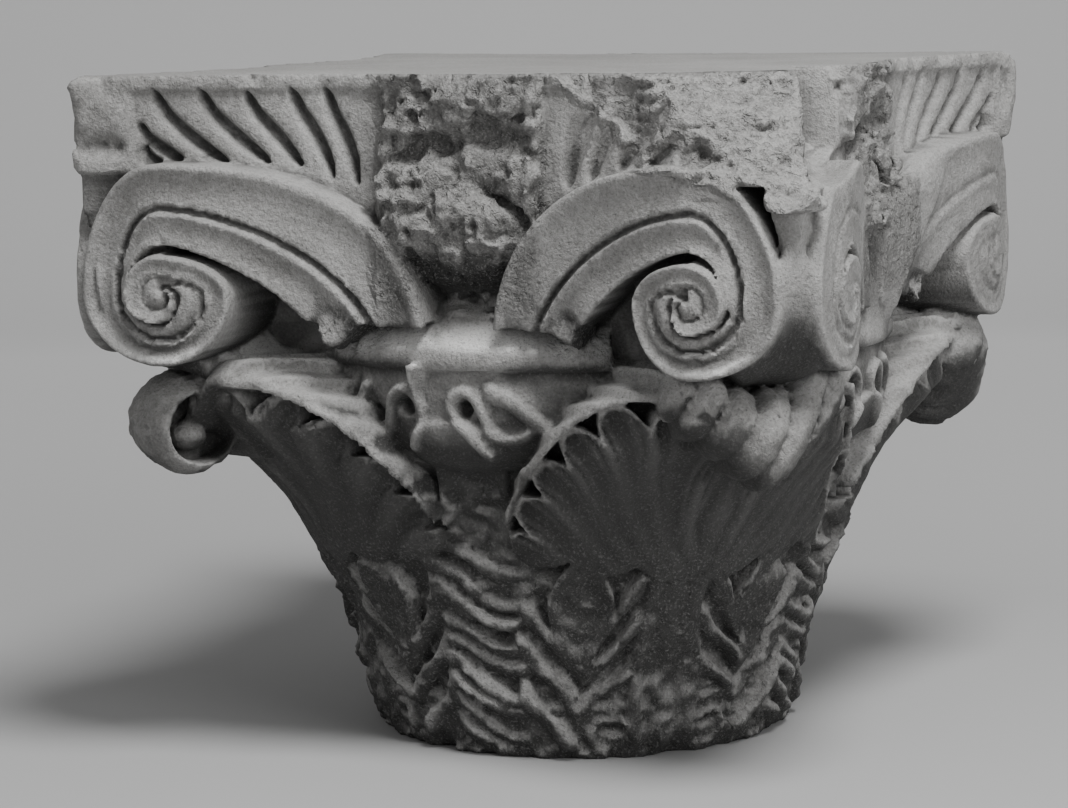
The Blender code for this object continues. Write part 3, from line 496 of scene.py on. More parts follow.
SERPENT_RISE = 0.0050
SERPENT_HOLE_DEPTH = 0.009
SERPENT_HOLE_RADIUS = 0.0052


def route_distance(points, across, height):
    nearest = np.full(len(across), 1.0)
    for (left, low), (right, high) in zip(points, points[1:]):
        run, climb = right - left, high - low
        share = ((across - left) * run + (height - low) * climb) / (run * run + climb * climb)
        share = np.clip(share, 0.0, 1.0)
        nearest = np.minimum(nearest, np.hypot(across - left - share * run, height - low - share * climb))
    return nearest


def rounded_route(points):
    """The same route with each bend cut twice, so that it turns smoothly."""
    for _ in range(2):
        cut = [points[0]]
        for first, last in zip(points, points[1:]):
            cut.append(tuple(0.75 * a + 0.25 * b for a, b in zip(first, last)))
            cut.append(tuple(0.25 * a + 0.75 * b for a, b in zip(first, last)))
        points = cut + [points[-1]]
    return points


SERPENTS = [rounded_route(route) for route in (SERPENT_ROUTE, SERPENT_SECOND, SERPENT_THIRD)]


def serpent(turn, height):
    across = np.radians(turn) * LIP_RADIUS
    relief = np.full(len(across), -0.001)
    for route, half_width in zip(SERPENTS, SERPENT_HALF_WIDTHS):
        off = route_distance(route, across, height) / half_width
        relief = np.maximum(relief, SERPENT_RISE * bead(off))
    tongue = np.hypot((across + 0.008) / 0.034, (height - 0.190) / 0.019)
    relief = relief + 0.005 * (1.0 - ramp(tongue, 0.75, 1.0))
    for hole_across, hole_height in SERPENT_HOLES:
        away = np.hypot(across - hole_across, height - hole_height)
        relief = relief - SERPENT_HOLE_DEPTH * bead(away / SERPENT_HOLE_RADIUS)
    return relief


def lip(turn, radius, height, x, y, z):
    share = np.clip((height - BAND_BOTTOM) / (LIP_BOTTOM - BAND_BOTTOM), 0.0, 1.0)
    swell = BAND_FOOT_RADIUS + (LIP_RADIUS - 0.005 - BAND_FOOT_RADIUS) * np.sqrt(1.0 - (1.0 - share) ** 2)
    band = np.maximum(radius - swell - serpent(turn, height), height - LIP_BOTTOM - 0.004)
    band = np.maximum(band, BAND_BOTTOM - 0.006 - height)
    slope = LIP_TOP + (LIP_RADIUS - radius) * LIP_SLOPE
    chip = 0.0035 * rubble(x, y, z, 0.016)
    rim = meet(radius - LIP_RADIUS - 0.4 * chip, np.maximum(height - slope, LIP_BOTTOM - height), 0.004)
    end = np.radians(np.abs(turn) - LIP_HALF_ANGLE) * LIP_RADIUS
    return np.maximum(np.minimum(band, rim), end + 2.0 * chip)


# The corner leaves: each opens from its stalk like a fan, is hollow in front, folds over along a scalloped
# edge and curls down at the tip. The gaps between the lobes are drilled.
LEAF_NARROWING = (1.0, 1.0, 1.04, 1.09)
LEAF_TIP_REACH = 0.255
LEAF_SIDE_REACH = 0.155
LEAF_TIP_HEIGHT = 0.198
LEAF_CREST_HEIGHT = 0.2265
LEAF_CREST_ANGLE = 10.0
LEAF_SHOULDER_ANGLE = 16.0
LEAF_HALF_ANGLE = 39.0
LEAF_EDGE_FALL = 0.074
LEAF_TOP = 0.238
RIM_HEIGHT = 0.0045
RIM_STEP = 0.0110
RIM_BACK_SLOPE = 1.1
RIM_SIDE_SLOPE = 8.0
FAN_FOOT = 0.105
FAN_RADIUS = 0.190
FIRST_LEAFLET = (3.0, 24.0)
LEAFLET_ANGLE = 12.4
ARCH_DEPTH = 0.0170
ARCH_HALF_WIDTH = 0.0030
ARCH_RISE = 0.0042
EYE_DRILL_DEPTH = 0.0110
VEIN_RISE = 0.0048
VEIN_HALF_WIDTH = 0.0036
LEAF_THICKNESS = 0.0050
LEAF_FOOT = 0.1080
LEAF_FOOT_RISE = 0.00036
LEAF_FOOT_LOBE = 0.0070
LEAF_FOOT_LOBE_ANGLE = 13.0
TOP_LOBE_ANGLE = 6.0
TOP_STEP = 0.0060
TOP_LOBE_SWEEP = 200.0
BENT_TURN = 1.6
BENT_HEIGHT = 0.0032
BELL_CRAGS = 0.0018
BELL_FINE_CRAGS = 0.0011
LEAF_BEND = 0.9
LEAF_LIFT = 0.002
ROLL_CRAGS = 0.0016


def leaf_edge(off_corner):
    rise = (LEAF_CREST_HEIGHT - LEAF_TIP_HEIGHT) * ramp(off_corner, 1.0, LEAF_CREST_ANGLE)
    past = np.maximum(off_corner - LEAF_SHOULDER_ANGLE, 0.0) / (LEAF_HALF_ANGLE - LEAF_SHOULDER_ANGLE)
    return LEAF_TIP_HEIGHT + rise - LEAF_EDGE_FALL * past**1.8


def leaf_rim(off_corner, reach):
    tip = LEAF_TIP_REACH * reach / MEAN_REACH
    return LEAF_SIDE_REACH + (tip - LEAF_SIDE_REACH) * openness(off_corner)


def below_edge(off_corner, height):
    """Distance below a leaf's edge, square to it."""
    steep = (leaf_edge(off_corner + 0.5) - leaf_edge(off_corner - 0.5)) / (math.radians(1.0) * LIP_RADIUS)
    return (leaf_edge(off_corner) - height) / np.sqrt(1.0 + steep**2)


def leaf_relief(off_corner, height, below):
    """The ribs inside a leaf, with the arched ends of its leaflets, and the drilled eyes between these."""
    sideways = np.radians(off_corner) * FAN_RADIUS
    risen = height - FAN_FOOT
    away = np.hypot(sideways, risen)
    fan = np.degrees(np.arctan2(sideways, risen)) + 24.0 * ramp(away, 0.01, 0.12) - 24.0
    first, last = FIRST_LEAFLET
    phase = np.where(fan < last, (fan - first) / (last - first), 1.0 + (fan - last) / LEAFLET_ANGLE)
    across = np.abs(2.0 * (phase - np.floor(phase)) - 1.0)
    half = away * np.radians(np.where(fan < last, last - first, LEAFLET_ANGLE)) / 2.0
    arch = below - RIM_HEIGHT - np.minimum(ARCH_DEPTH, 1.3 * half) * across**2.6
    arch_rib = ARCH_RISE * bead(arch / ARCH_HALF_WIDTH)
    eye = EYE_DRILL_DEPTH * ramp(-arch, 0.0012, 0.0035) * ramp(below - RIM_HEIGHT, 0.0, 0.002)
    fading = ramp(arch, 0.0, 0.003) * (0.22 + 0.78 * ramp(-below, -0.065, -0.012))
    veins = bead((1.0 - across) * half / VEIN_HALF_WIDTH)
    second = 0.6 * np.clip(1.0 - np.abs(across - 0.48) * half / 0.0026, 0.0, 1.0)
    open_part = ramp(off_corner, 6.0, 9.0)
    vein_rib = VEIN_RISE * np.maximum(veins, second) * fading
    return arch_rib * open_part, vein_rib, eye * open_part


def bent_leaf(off_corner, height, x, y, z):
    """The angle and the height, bent a little, as the ribs of a leaf carved by hand are."""
    return off_corner + LEAF_BEND * grain(x, y, z, 0.026), height + LEAF_LIFT * grain(z, x, y, 0.02)


def leafy_bell(turn, radius, height, reach, narrow, x, y, z):
    plain = bell_radius(45.0 - np.abs(turn), height)
    off_corner = (45.0 - np.abs(turn)) * narrow
    rim = leaf_rim(off_corner, reach)
    wear = 0.0011 * grain(x, y, z, 0.017) + 0.0008 * rubble(x, y, z, 0.008)
    bent_turn = turn + BENT_TURN * grain(x, y, z, 0.028)
    bent_height = height + BENT_HEIGHT * grain(y, z, x, 0.022)
    worn = np.clip(0.85 + 0.9 * grain(x, y, z, 0.020), 0.25, 1.3) * ramp(height, 0.002, 0.012)
    carved = plain + bell_carving(bent_turn, bent_height) * worn
    carved = carved + BELL_CRAGS * crag(x, y, z, 0.009) + BELL_FINE_CRAGS * crag(z, y, x, 0.0055)

    below = below_edge(off_corner, height)
    arches, veins, eye = leaf_relief(*bent_leaf(off_corner, height, x, y, z), below)
    foot = LEAF_FOOT + LEAF_FOOT_RISE * off_corner + LEAF_FOOT_LOBE
    foot = foot - LEAF_FOOT_LOBE * np.abs(np.sin(np.pi * off_corner / LEAF_FOOT_LOBE_ANGLE))
    thick = LEAF_THICKNESS * (1.0 - ramp(height - foot, 0.004, 0.045))
    hollow = np.minimum(plain, rim - RIM_STEP) + np.maximum(arches, veins) - eye + thick

    behind = BELL_FOOT_RADIUS + BELL_SPREAD * height
    lobe = (off_corner - TOP_LOBE_SWEEP * (rim - radius)) / TOP_LOBE_ANGLE
    lobe = lobe - np.floor(lobe)
    step = TOP_STEP * (lobe * ramp(1.0 - lobe, 0.0, 0.15) - 0.35)
    over = np.maximum(-below - step * ramp(-below, -0.002, 0.003), 0.0)
    side_share = ramp(off_corner, 12.0, 25.0)
    slope = RIM_BACK_SLOPE + (RIM_SIDE_SLOPE - RIM_BACK_SLOPE) * side_share
    rolled = np.maximum(rim - slope * over, behind) + ROLL_CRAGS * crag(x, y, z, 0.012)
    leaf = np.where(below < RIM_HEIGHT, rolled, np.where(height > foot, hollow, carved))
    face = np.where(off_corner < LEAF_HALF_ANGLE, leaf, carved)
    return np.maximum(radius - face - wear, height - LEAF_TOP - 0.6 * step)


# The tip of each leaf, rolled down and under, with a drilled hollow in the roll and a lump left in that. The
# near one and the right one are worn back to a row of rounded lobes.
CURL_RADII = (0.0285, 0.0350, 0.0300, 0.0285)
CURL_HEIGHTS = (0.2010, 0.1980, 0.1970, 0.1990)
CURL_INSETS = (0.0455, 0.0470, 0.0480, 0.0500)
CURL_HALF_LENGTHS = (0.036, 0.028, 0.012, 0.010)
CURL_FLUTES = (0.0070, 0.0045, 0.0, 0.0)
CURL_FLUTE_ANGLE = 4.6
CURL_FLUTE_TURN = 36.0
CURL_FLUTE_LEAN = 130.0
CURL_ROUGHNESS = 0.0026
CURL_CRAGS = 0.0012
CURL_SWEEP = 0.022
CURL_TAPER = 0.16
CURL_HOLLOW_RADIUS = 0.0205
CURL_HOLLOW_INSET = 0.0035
CURL_HOLLOW_START = 0.005
CURL_LUMP_RADIUS = 0.0090
CURL_LUMP_END = 0.018


def curl(along, depth, height, middle_out, middle, roll, half_length, flute, x, y, z):
    out, off = to_corner(along, depth)
    out = out - middle_out
    spread = np.where(flute > 0.0, ramp(off, 0.004, 0.045), 0.0)
    up = height - middle - CURL_SWEEP * spread
    out = out + 0.010 * spread
    span = np.hypot(out, up)
    round_turn = np.degrees(np.arctan2(x, -y)) - CURL_FLUTE_TURN - CURL_FLUTE_LEAN * (height - middle)
    folds = np.abs(np.sin(np.pi * round_turn / CURL_FLUTE_ANGLE))
    ripples = np.abs(np.sin(2.0 * np.pi * round_turn / CURL_FLUTE_ANGLE + 0.6))
    flutes = flute * (folds**0.35 - 0.9) - 0.15 * flute * ripples
    rough = CURL_ROUGHNESS * rubble(x, y, z, 0.013) + CURL_CRAGS * crag(x, y, z, 0.006)
    solid = np.hypot(span, np.maximum(off - half_length, 0.0)) - roll - flutes - rough
    solid = solid + CURL_TAPER * np.where(flute > 0.0, off, 0.0)
    bore = np.hypot(out + CURL_HOLLOW_INSET, up + 0.001) - CURL_HOLLOW_RADIUS
    hollow = meet(solid, -np.maximum(bore, CURL_HOLLOW_START - off), 0.003)
    oval = np.hypot(out - 0.001, 1.3 * (up + 0.007)) / 1.2
    lump = np.hypot(oval, np.maximum(off - CURL_LUMP_END + 0.006, 0.0)) - CURL_LUMP_RADIUS
    return np.where(flute > 0.0, solid, np.minimum(hollow, lump))


# What is lost: the slab's near corner with the volute's top beside it, a chip out of the foot below, the
# foot's sharp edge and the ribbons' ends on the lip. The right face's far ribbon is worn nearly plain.
STEEP_POINT = (0.110, -0.190, 0.355)
STEEP_SLOPE = (0.609, -0.202, 0.767)
MAIN_POINT = (0.207, -0.192, 0.335)
MAIN_SLOPE = (0.400, -0.564, 0.7225)
FLAKE_DEPTH = 0.009
FLAKE_FOOT = 0.353
BREAK_FOOT = 0.339
BREAK_FALL = 0.008
BREAK_ROUGHNESS = 0.0095
CHIP_POINT = (0.085, -0.110, 0.006)
CHIP_SLOPE = (0.38, -0.42, -0.82)
FOOT_CHIP_DEPTH = 0.015
FOOT_CHIP_RUN = 0.007
FOOT_CHIP_SIZE = 0.014
RIBBON_TOP = 0.314
LOST_LINE = 0.1215
LOST_FOOT = 0.327
LOST_TURN = math.radians(21.0)
POCKET_EDGE = 0.1850
POCKET_SLANT = 0.17
POCKET_DEPTH = 0.1500
POCKET_POWER = 1.7
RIBBON_END_PATCHES = ((-0.070, 0.256, 0.019), (0.062, 0.257, 0.017))


def plane(x, y, z, point, slope):
    return slope[0] * (x - point[0]) + slope[1] * (y - point[1]) + slope[2] * (z - point[2])


def broken(x, y, z):
    rough = BREAK_ROUGHNESS * rubble(x, y, z * 1.6, 0.030) + 0.0034 * crag(x, y, z * 1.8, 0.014)
    rough = rough + 0.0014 * crag(z, x, y, 0.006)
    flake = np.minimum(-y - slab_face(np.abs(x)) + FLAKE_DEPTH, z - FLAKE_FOOT)
    hollow = np.maximum(plane(x, y, z, MAIN_POINT, MAIN_SLOPE), flake)
    corner = np.minimum(plane(x, y, z, STEEP_POINT, STEEP_SLOPE), hollow + rough)
    foot = BREAK_FOOT - BREAK_FALL * ramp(x, 0.125, 0.185) * ramp(-y - x, -0.012, 0.004)
    corner = np.minimum(corner, z - foot - 0.004 * grain(x, y, z, 0.018))
    chip = plane(x, y, z, CHIP_POINT, CHIP_SLOPE) + 0.004 * rubble(x, y, z, 0.020)
    return np.maximum(corner, chip)


def foot_chips(x, y, z):
    """How much the foot's edge is worn back all round."""
    chips = np.clip(rubble(x, y, z, FOOT_CHIP_SIZE) + 0.22, 0.0, 1.0)
    return FOOT_CHIP_DEPTH * np.exp(-np.maximum(z, 0.0) / FOOT_CHIP_RUN) * chips


def pocket(along, depth, height, reach, x, y, z):
    """The dark gap between the near volute, the slab's broken underside and the corner's fin."""
    side = np.maximum(along - eye_place(reach), 0.0) / (OUTER_TURNS[1] + 0.001)
    up = np.maximum(height - EYE_HEIGHT, 0.0) / (OUTER_TURNS[0] + 0.001)
    ring = (side**POCKET_POWER + up**POCKET_POWER) ** (1.0 / POCKET_POWER) - 1.0
    fin_edge = POCKET_EDGE + POCKET_SLANT * (BREAK_FOOT - height) + 0.0015 * grain(x, y, z, 0.012)
    top = height - BREAK_FOOT - 0.002
    return np.maximum(np.maximum(-0.05 * ring, top), np.maximum(POCKET_DEPTH - depth, along - fin_edge))


def worn_ribbon(across, depth, height, x, y, z):
    """The broad worn ribbon of the right face, which runs from under the stump down on to the lip."""
    face = LIP_RADIUS - 0.002 + 0.020 * ramp(across, -0.010, 0.100) - 0.10 * np.maximum(-across, 0.0)
    face = face + 0.0014 * rubble(x, y, z, 0.020)
    top = RIBBON_TOP + 0.026 * ramp(across, -0.020, 0.090) + 0.004 * grain(x, y, z, 0.020)
    ends = np.maximum(-0.060 - across, across - 0.022 - 0.80 * (height - 0.245))
    return meet(meet(depth - face, height - top, 0.016), meet(ends, 0.243 - height, 0.010), 0.008)


def lost_top(x, y, z):
    """The upper part of the near volute on the right face, which went with the slab's corner."""
    line = LOST_LINE - (x * math.cos(LOST_TURN) + y * math.sin(LOST_TURN)) + 0.003 * rubble(x, y, z, 0.014)
    foot = LOST_FOOT + 0.25 * (x + y) + 0.006 * grain(x, y, z, 0.014)
    return np.maximum(meet(line, foot - z, 0.020), np.maximum(0.140 - x, y + 0.070))


def worn_patches(across, height, x, y, z):
    """How deep the rough patches at the ribbons' ends are."""
    depth = np.zeros(len(across))
    for patch_across, patch_height, size in RIBBON_END_PATCHES:
        away = np.hypot(across - patch_across, (height - patch_height) * 1.1) / size
        depth = np.maximum(depth, (1.0 - ramp(away, 0.7, 1.15)))
    return depth * (0.002 + 0.0055 * rubble(x, y, z, 0.012))


CORNER_SIZES = np.array([
    CORNER_REACHES, SLAB_CORNER_REACHES, LEAF_NARROWING, CURL_INSETS, CURL_HEIGHTS, CURL_RADII,
    CURL_HALF_LENGTHS, CURL_FLUTES, FIN_HALF_ANGLES,
])


def cut_away(body, near, field, *values):
    """Takes the inside of a field out of the stone, where a test holds."""
    if near.any():
        body[near] = np.maximum(body[near], -field(*[value[near] for value in values]))


def stone(x, y, z):
    """The field of the whole capital. Faces and corners are numbered from the front one to the right."""
    depths = np.stack([-y, x, y, -x])
    face = depths.argmax(0)
    depth = depths.max(0)
    across = np.choose(face, [x, y, -x, -y])
    along = np.abs(across)
    radius = np.hypot(x, y)
    turn = np.degrees(np.arctan2(across, depth))
    corner = np.where(across >= 0.0, face, (face + 3) % 4)
    right_face = face == 1

    reach, slab_reach, narrow, inset, middle, roll, half_length, flute, fin_angle = CORNER_SIZES[:, corner]
    wear = np.where(right_face, RIGHT_FACE_WEAR, 1.0)
    start = np.where(right_face & (across > 0.0), RIGHT_RIBBON_START, RIBBON_START)
    fin_angle = np.where(right_face & (corner == 0), math.radians(WIDE_FIN_ANGLE), np.radians(fin_angle))
    widen = np.where((face == 0) & (across > 0.0), FROND_WIDENING, 1.0)
    carved = np.where(right_face & (across < 0.0), 0.0, 1.0)

    body = np.maximum(depth - CORE_DEPTH, CORE_FOOT - z)
    leafy = where_near(z < LEAF_TOP + 0.01, leafy_bell, turn, radius, z, reach, narrow, x, y, z)
    body = join(body, leafy, 0.002)
    low = z < 0.04
    body[low] += foot_chips(x[low], y[low], z[low])
    near_lip = (z > BAND_BOTTOM - 0.015) & (z < 0.275) & (np.abs(turn) < 32.0)
    body = join(body, where_near(near_lip, lip, turn, radius, z, x, y, z), 0.002)
    near_slab = z > SLAB_BOTTOM - FIELD_DROP - 0.01
    top_slab = where_near(near_slab, slab, along, depth, z, slab_reach, carved, widen, x, y, z)
    body = join(body, top_slab, 0.002)
    body = join(body, where_near(z > 0.215, volute, along, depth, z, reach, wear, start, x, y, z), 0.0015)
    near_strip = (z > LEAF_TIP_HEIGHT - 0.02) & (along > 0.1)
    strip = where_near(near_strip, corner_strip, along, depth, z, reach, slab_reach, fin_angle)
    body = join(body, strip, 0.0015)
    near_curl = (np.abs(z - middle) < roll + 0.015) & (along > 0.1)
    curl_sizes = (reach - inset, middle, roll, half_length, flute)
    body = join(body, where_near(near_curl, curl, along, depth, z, *curl_sizes, x, y, z), 0.003)
    near_boss = (z > BOSS_FOOT - 0.005) & (along < BOSS_HALF_WIDTH + 0.015) & (depth > SLAB_WAIST - 0.02)
    shifted = across + RIGHT_BOSS_SHIFT * right_face
    body = join(body, where_near(near_boss, boss, shifted, depth, z, x, y, z), 0.003)

    patch = (np.abs(z - 0.256) < 0.025) & (along < 0.1) & (along > 0.035) & (depth > 0.16)
    if patch.any():
        body[patch] += np.maximum(worn_patches(across[patch], z[patch], x[patch], y[patch], z[patch]), 0.0)
    near_ribbon = right_face & (z > 0.235) & (z < 0.355) & (across > -0.06) & (across < 0.115)
    body = join(body, where_near(near_ribbon, worn_ribbon, across, depth, z, x, y, z), 0.003)
    top = (x > 0.135) & (y < -0.065) & (z > 0.31)
    cut_away(body, top, lost_top, x, y, z)
    hole = (face == 0) & (across > 0.145) & (z > 0.285) & (z < 0.350)
    cut_away(body, hole, pocket, along, depth, z, reach, x, y, z)
    near_break = (x > -0.02) & (y < 0.12)
    body = np.maximum(body, np.where(near_break, where_near(near_break, broken, x, y, z), -0.05))
    return np.maximum(body, np.maximum(-z, z - HEIGHT))


# From the field to the mesh: the field is worked out on a fine grid, in the blocks of it that the surface
# passes through. Its zero surface is thinned to what a piece may hold, and loose crumbs are dropped.
VOXEL = 0.0018
BLOCK = 4
TRIANGLES = 198000
GRID_HALF_WIDTH = 0.246
BED_SNAP = 0.0004
ON_BED = 0.00001


def touched_blocks(values):
    near = np.abs(values) < 1.5 * BLOCK * VOXEL
    inside = values < 0.0
    for axis in range(3):
        change = np.diff(inside, axis=axis)
        for pad in ((0, 1), (1, 0)):
            pads = [(0, 0)] * 3
            pads[axis] = pad
            near |= np.pad(change, pads)
    for axis in range(3):
        near = near | np.roll(near, 1, axis) | np.roll(near, -1, axis)
    return np.argwhere(near)


def field_grid(low, counts):
    middles = [
        start + VOXEL * (BLOCK * np.arange(count) + (BLOCK - 1) / 2.0) for start, count in zip(low, counts)
    ]
    x, y, z = np.meshgrid(*middles, indexing="ij")
    coarse = stone(x.ravel(), y.ravel(), z.ravel()).reshape(counts)
    grid = coarse.repeat(BLOCK, 0).repeat(BLOCK, 1).repeat(BLOCK, 2).astype(np.float32)
    inside_block = np.stack(np.meshgrid(*[np.arange(BLOCK)] * 3, indexing="ij"), -1).reshape(-1, 3)
    blocks = touched_blocks(coarse)
    for part in np.array_split(blocks, max(1, len(blocks) // 3000)):
        cells = (part[:, None, :] * BLOCK + inside_block).reshape(-1, 3)
        points = cells * VOXEL + np.array(low)
        grid[tuple(cells.T)] = stone(*points.T)
    return grid


def box_blur(values, reach):
    """The mean over a cube that reaches a number of cells each way."""
    for axis in range(3):
        padded = np.pad(values, [(reach + 1, reach) if a == axis else (0, 0) for a in range(3)], mode="edge")
        total = np.cumsum(padded, axis=axis, dtype=np.float32)
        size = values.shape[axis]
        upper = np.take(total, np.arange(2 * reach + 1, 2 * reach + 1 + size), axis=axis)
        lower = np.take(total, np.arange(0, size), axis=axis)
        values = (upper - lower) / (2 * reach + 1)
    return values


def read(items, name, width, kind=np.float32):
    """One value or vector of each point or edge of a mesh."""
    found = np.empty(len(items) * width, kind)
    items.foreach_get(name, found)
    return found.reshape(-1, width)


def crumbs(mesh):
    """The points that don't hang together with the largest part."""
    first, last = read(mesh.edges, "vertices", 2, np.int32).T
    parts = np.arange(len(mesh.vertices))
    while True:
        lowest = parts.copy()
        np.minimum.at(lowest, first, parts[last])
        np.minimum.at(lowest, last, parts[first])
        lowest = lowest[lowest]
        if (lowest == parts).all():
            return np.flatnonzero(parts != np.bincount(parts).argmax())
        parts = lowest


def in_scene(name, data):
    made = bpy.data.objects.new(name, data)
    bpy.context.scene.collection.objects.link(made)
    return made


span = BLOCK * VOXEL
half_count = math.ceil(GRID_HALF_WIDTH / span)
low = (-half_count * span, -half_count * span, -span)
counts = (2 * half_count, 2 * half_count, math.ceil(HEIGHT / span) + 2)
values = field_grid(low, counts)
grid = openvdb.FloatGrid(span)
grid.copyFromArray(np.clip(values, -span, span))
points, triangles, quads = grid.convertToPolygons(isovalue=0.0, adaptivity=0.0)
mesh = bpy.data.meshes.new("column_capital_carved")
mesh.from_pydata((points * VOXEL + np.array(low)).tolist(), [], quads.tolist() + triangles.tolist())
capital = in_scene("carved_capital", mesh)
thin = capital.modifiers.new("thin", "DECIMATE")
thin.ratio = min(1.0, TRIANGLES / (2 * len(quads) + len(triangles)))
thinned = bpy.data.meshes.new_from_object(capital.evaluated_get(bpy.context.evaluated_depsgraph_get()))
capital.modifiers.clear()
capital.data = thinned
whole = bmesh.new()
whole.from_mesh(thinned)
whole.verts.ensure_lookup_table()
bmesh.ops.delete(whole, geom=[whole.verts[index] for index in crumbs(thinned)], context="VERTS")
whole.to_mesh(thinned)
whole.free()
for vertex in thinned.vertices:
    for bed in (0.0, HEIGHT):
        if abs(vertex.co.z - bed) < BED_SNAP:
            vertex.co.z = bed
thinned.name = "carved_capital"
thinned.shade_smooth()
for flat_face in thinned.polygons:
    if min(abs(flat_face.center.z), abs(flat_face.center.z - HEIGHT)) < ON_BED:
        flat_face.use_smooth = False

# What the colour of each point hangs on: how sunk it is (dirt and painted shade in the hollows), how raised
# or turned up (pale wear, and painted light from above), how covered from above and turned down (painted
# shade), how coarse it is, and whether it lies on a stump, on top of the lip (a painted highlight) or on a
# leaf's rib (a painted highlight within the leaf's painted shade).
solid_share = (values < 0.0).astype(np.float32)
near_share = box_blur(solid_share, max(1, round(0.004 / VOXEL)))
wide_share = box_blur(solid_share, max(2, round(0.012 / VOXEL)))
# How much stone lies in the 70 mm above each point, for the painted shade under overhangs.
above = np.cumsum(solid_share[:, :, ::-1], axis=2)[:, :, ::-1]
shift = round(0.07 / VOXEL)
cover = (above - np.pad(above, ((0, 0), (0, 0), (0, shift)))[:, :, shift:]) / shift
cover = box_blur(cover.astype(np.float32), max(1, round(0.006 / VOXEL)))
places = read(thinned.vertices, "co", 3)
upward = read(thinned.vertices, "normal", 3)[:, 2]
cells = np.clip(np.rint((places - np.array(low)) / VOXEL).astype(int), 0, np.array(values.shape) - 1)
at_points = tuple(cells.T)
near_share, wide_share, cover = near_share[at_points], wide_share[at_points], cover[at_points]
# Sunk: dark where much stone lies round a point, for real dirt and painted shade in the hollows.
sunk = ramp(0.6 * near_share + 0.4 * wide_share, 0.50, 0.80)
# Pale on edges that stand out, which is wear, and on faces turned up, which is painted light from above.
raised = np.maximum(ramp(-near_share, -0.47, -0.25), 0.9 * ramp(upward, 0.35, 0.8))
x, y, z = places.T.astype(float)
turn = np.degrees(np.arctan2(x, -y)) % 90.0
off_corner = np.abs(turn - 45.0)
within = ramp(leaf_rim(off_corner, MEAN_REACH) - 0.5 * RIM_STEP - np.hypot(x, y), 0.000, 0.005)
within = within * ramp(LEAF_HALF_ANGLE + 1.0 - off_corner, 0.0, 2.0)
within = within * ramp(leaf_edge(off_corner) - z, 0.002, 0.006)
# Painted shade: faces that turn down under stone above, and each leaf's hollow above its foot, are painted
# nearly black.
underside_shade = ramp(cover, 0.20, 0.85) * ramp(-upward, -0.20, 0.30)
underside_shade = np.maximum(underside_shade, ramp(z, 0.105, 0.125) * within)
arches, veins, _ = leaf_relief(*bent_leaf(off_corner, z, x, y, z), below_edge(off_corner, z))
# Painted highlight: the leaves' veins are painted paler within the painted shade of their hollows.
lit_veins = np.clip(veins / VEIN_RISE, 0.0, 1.0) * within
# The arched ends of the leaflets are mostly left out of this painted shade, as if lit.
underside_shade = underside_shade * (1.0 - 0.85 * np.clip(1.3 * arches / ARCH_RISE, 0.0, 1.0) * within)
depth = np.maximum(np.abs(x), np.abs(y))
along = np.minimum(np.abs(x), np.abs(y))
fresh = bump(broken(x, y, z), 0.006) * ((x > -0.02) & (y < 0.12))
stump = ramp(z, 0.262, 0.280) * ramp(BOSS_HALF_WIDTH + 0.004 - along, 0.0, 0.006) * ramp(depth, 0.170, 0.178)
patchy = bump(along - 0.066, 0.024) * bump(z - 0.257, 0.020) * (depth > 0.165)
weathered = 0.45 * ramp(0.150 - z, 0.0, 0.05)
coarse = np.clip(np.maximum(np.maximum(fresh, stump), np.maximum(patchy, weathered)), 0.0, 1.0)
# Painted highlight: faces turned up at the lip's top are painted much paler, as if lit from above.
lit_lip_top = ramp(upward, 0.30, 0.75) * bump(z - 0.245, 0.022)
on_bed = z > HEIGHT - ON_BED
for share, bed_share in ((sunk, 0.0), (raised, 0.40), (coarse, 0.10), (underside_shade, 0.0), (stump, 0.0)):
    share[on_bed] = bed_share
shares = {
    "sunk": sunk, "raised": raised, "coarse": coarse, "underside_shade": underside_shade, "stump": stump,
    "lit_lip_top": lit_lip_top, "lit_veins": lit_veins,
}
for name, share in shares.items():
    layer = thinned.attributes.new(name, "FLOAT", "POINT")
    layer.data.foreach_set("value", share.astype(np.float32))

# The marble: grey and matt, streaked and stained with age. Dirt and painted shade lie in the hollows, painted
# shade darkens the undersides and the leaves' hollows, the worn edges are pale, faces turned up carry painted
# light, the lip's top a painted highlight, and the broken parts are coarse and pitted.


class Socket:
    """An output of a node, so that sums on it add the nodes for them."""

    def __init__(self, tree, output):
        self.tree = tree
        self.output = output

    def math(self, operation, *others):
        inputs = dict(enumerate((self, *others)))
        return node(self.tree, "ShaderNodeMath", {"operation": operation}, inputs)

    def __add__(self, other):
        return self.math("ADD", other)

    __radd__ = __add__

    def __mul__(self, other):
        return self.math("MULTIPLY", other)

    __rmul__ = __mul__

    def __sub__(self, other):
        return self.math("SUBTRACT", other)

    def __rsub__(self, other):
        return (self * -1.0) + other


def node(tree, kind, settings=None, inputs=None, output=0):
    made = tree.nodes.new(kind)
    for name, value in (settings or {}).items():
        setattr(made, name, value)
    for name, value in (inputs or {}).items():
        if isinstance(value, Socket):
            tree.links.new(value.output, made.inputs[name])
        else:
            made.inputs[name].default_value = value
    return Socket(tree, made.outputs[output])


def noise(place, scale, detail, roughness):
    inputs = {"Vector": place, "Scale": scale, "Detail": detail, "Roughness": roughness}
    return node(place.tree, "ShaderNodeTexNoise", None, inputs, "Fac")


def level(value, low, high):
    """0 to 1 between two values."""
    inputs = {"Value": value, "From Min": low, "From Max": high, "To Min": 0.0, "To Max": 1.0}
    return node(value.tree, "ShaderNodeMapRange", {"clamp": True}, inputs, "Result")


def mixed(share, first, second):
    """One colour laid over another."""
    return node(share.tree, "ShaderNodeMix", {"data_type": "RGBA"}, {0: share, 6: first, 7: second}, 2)


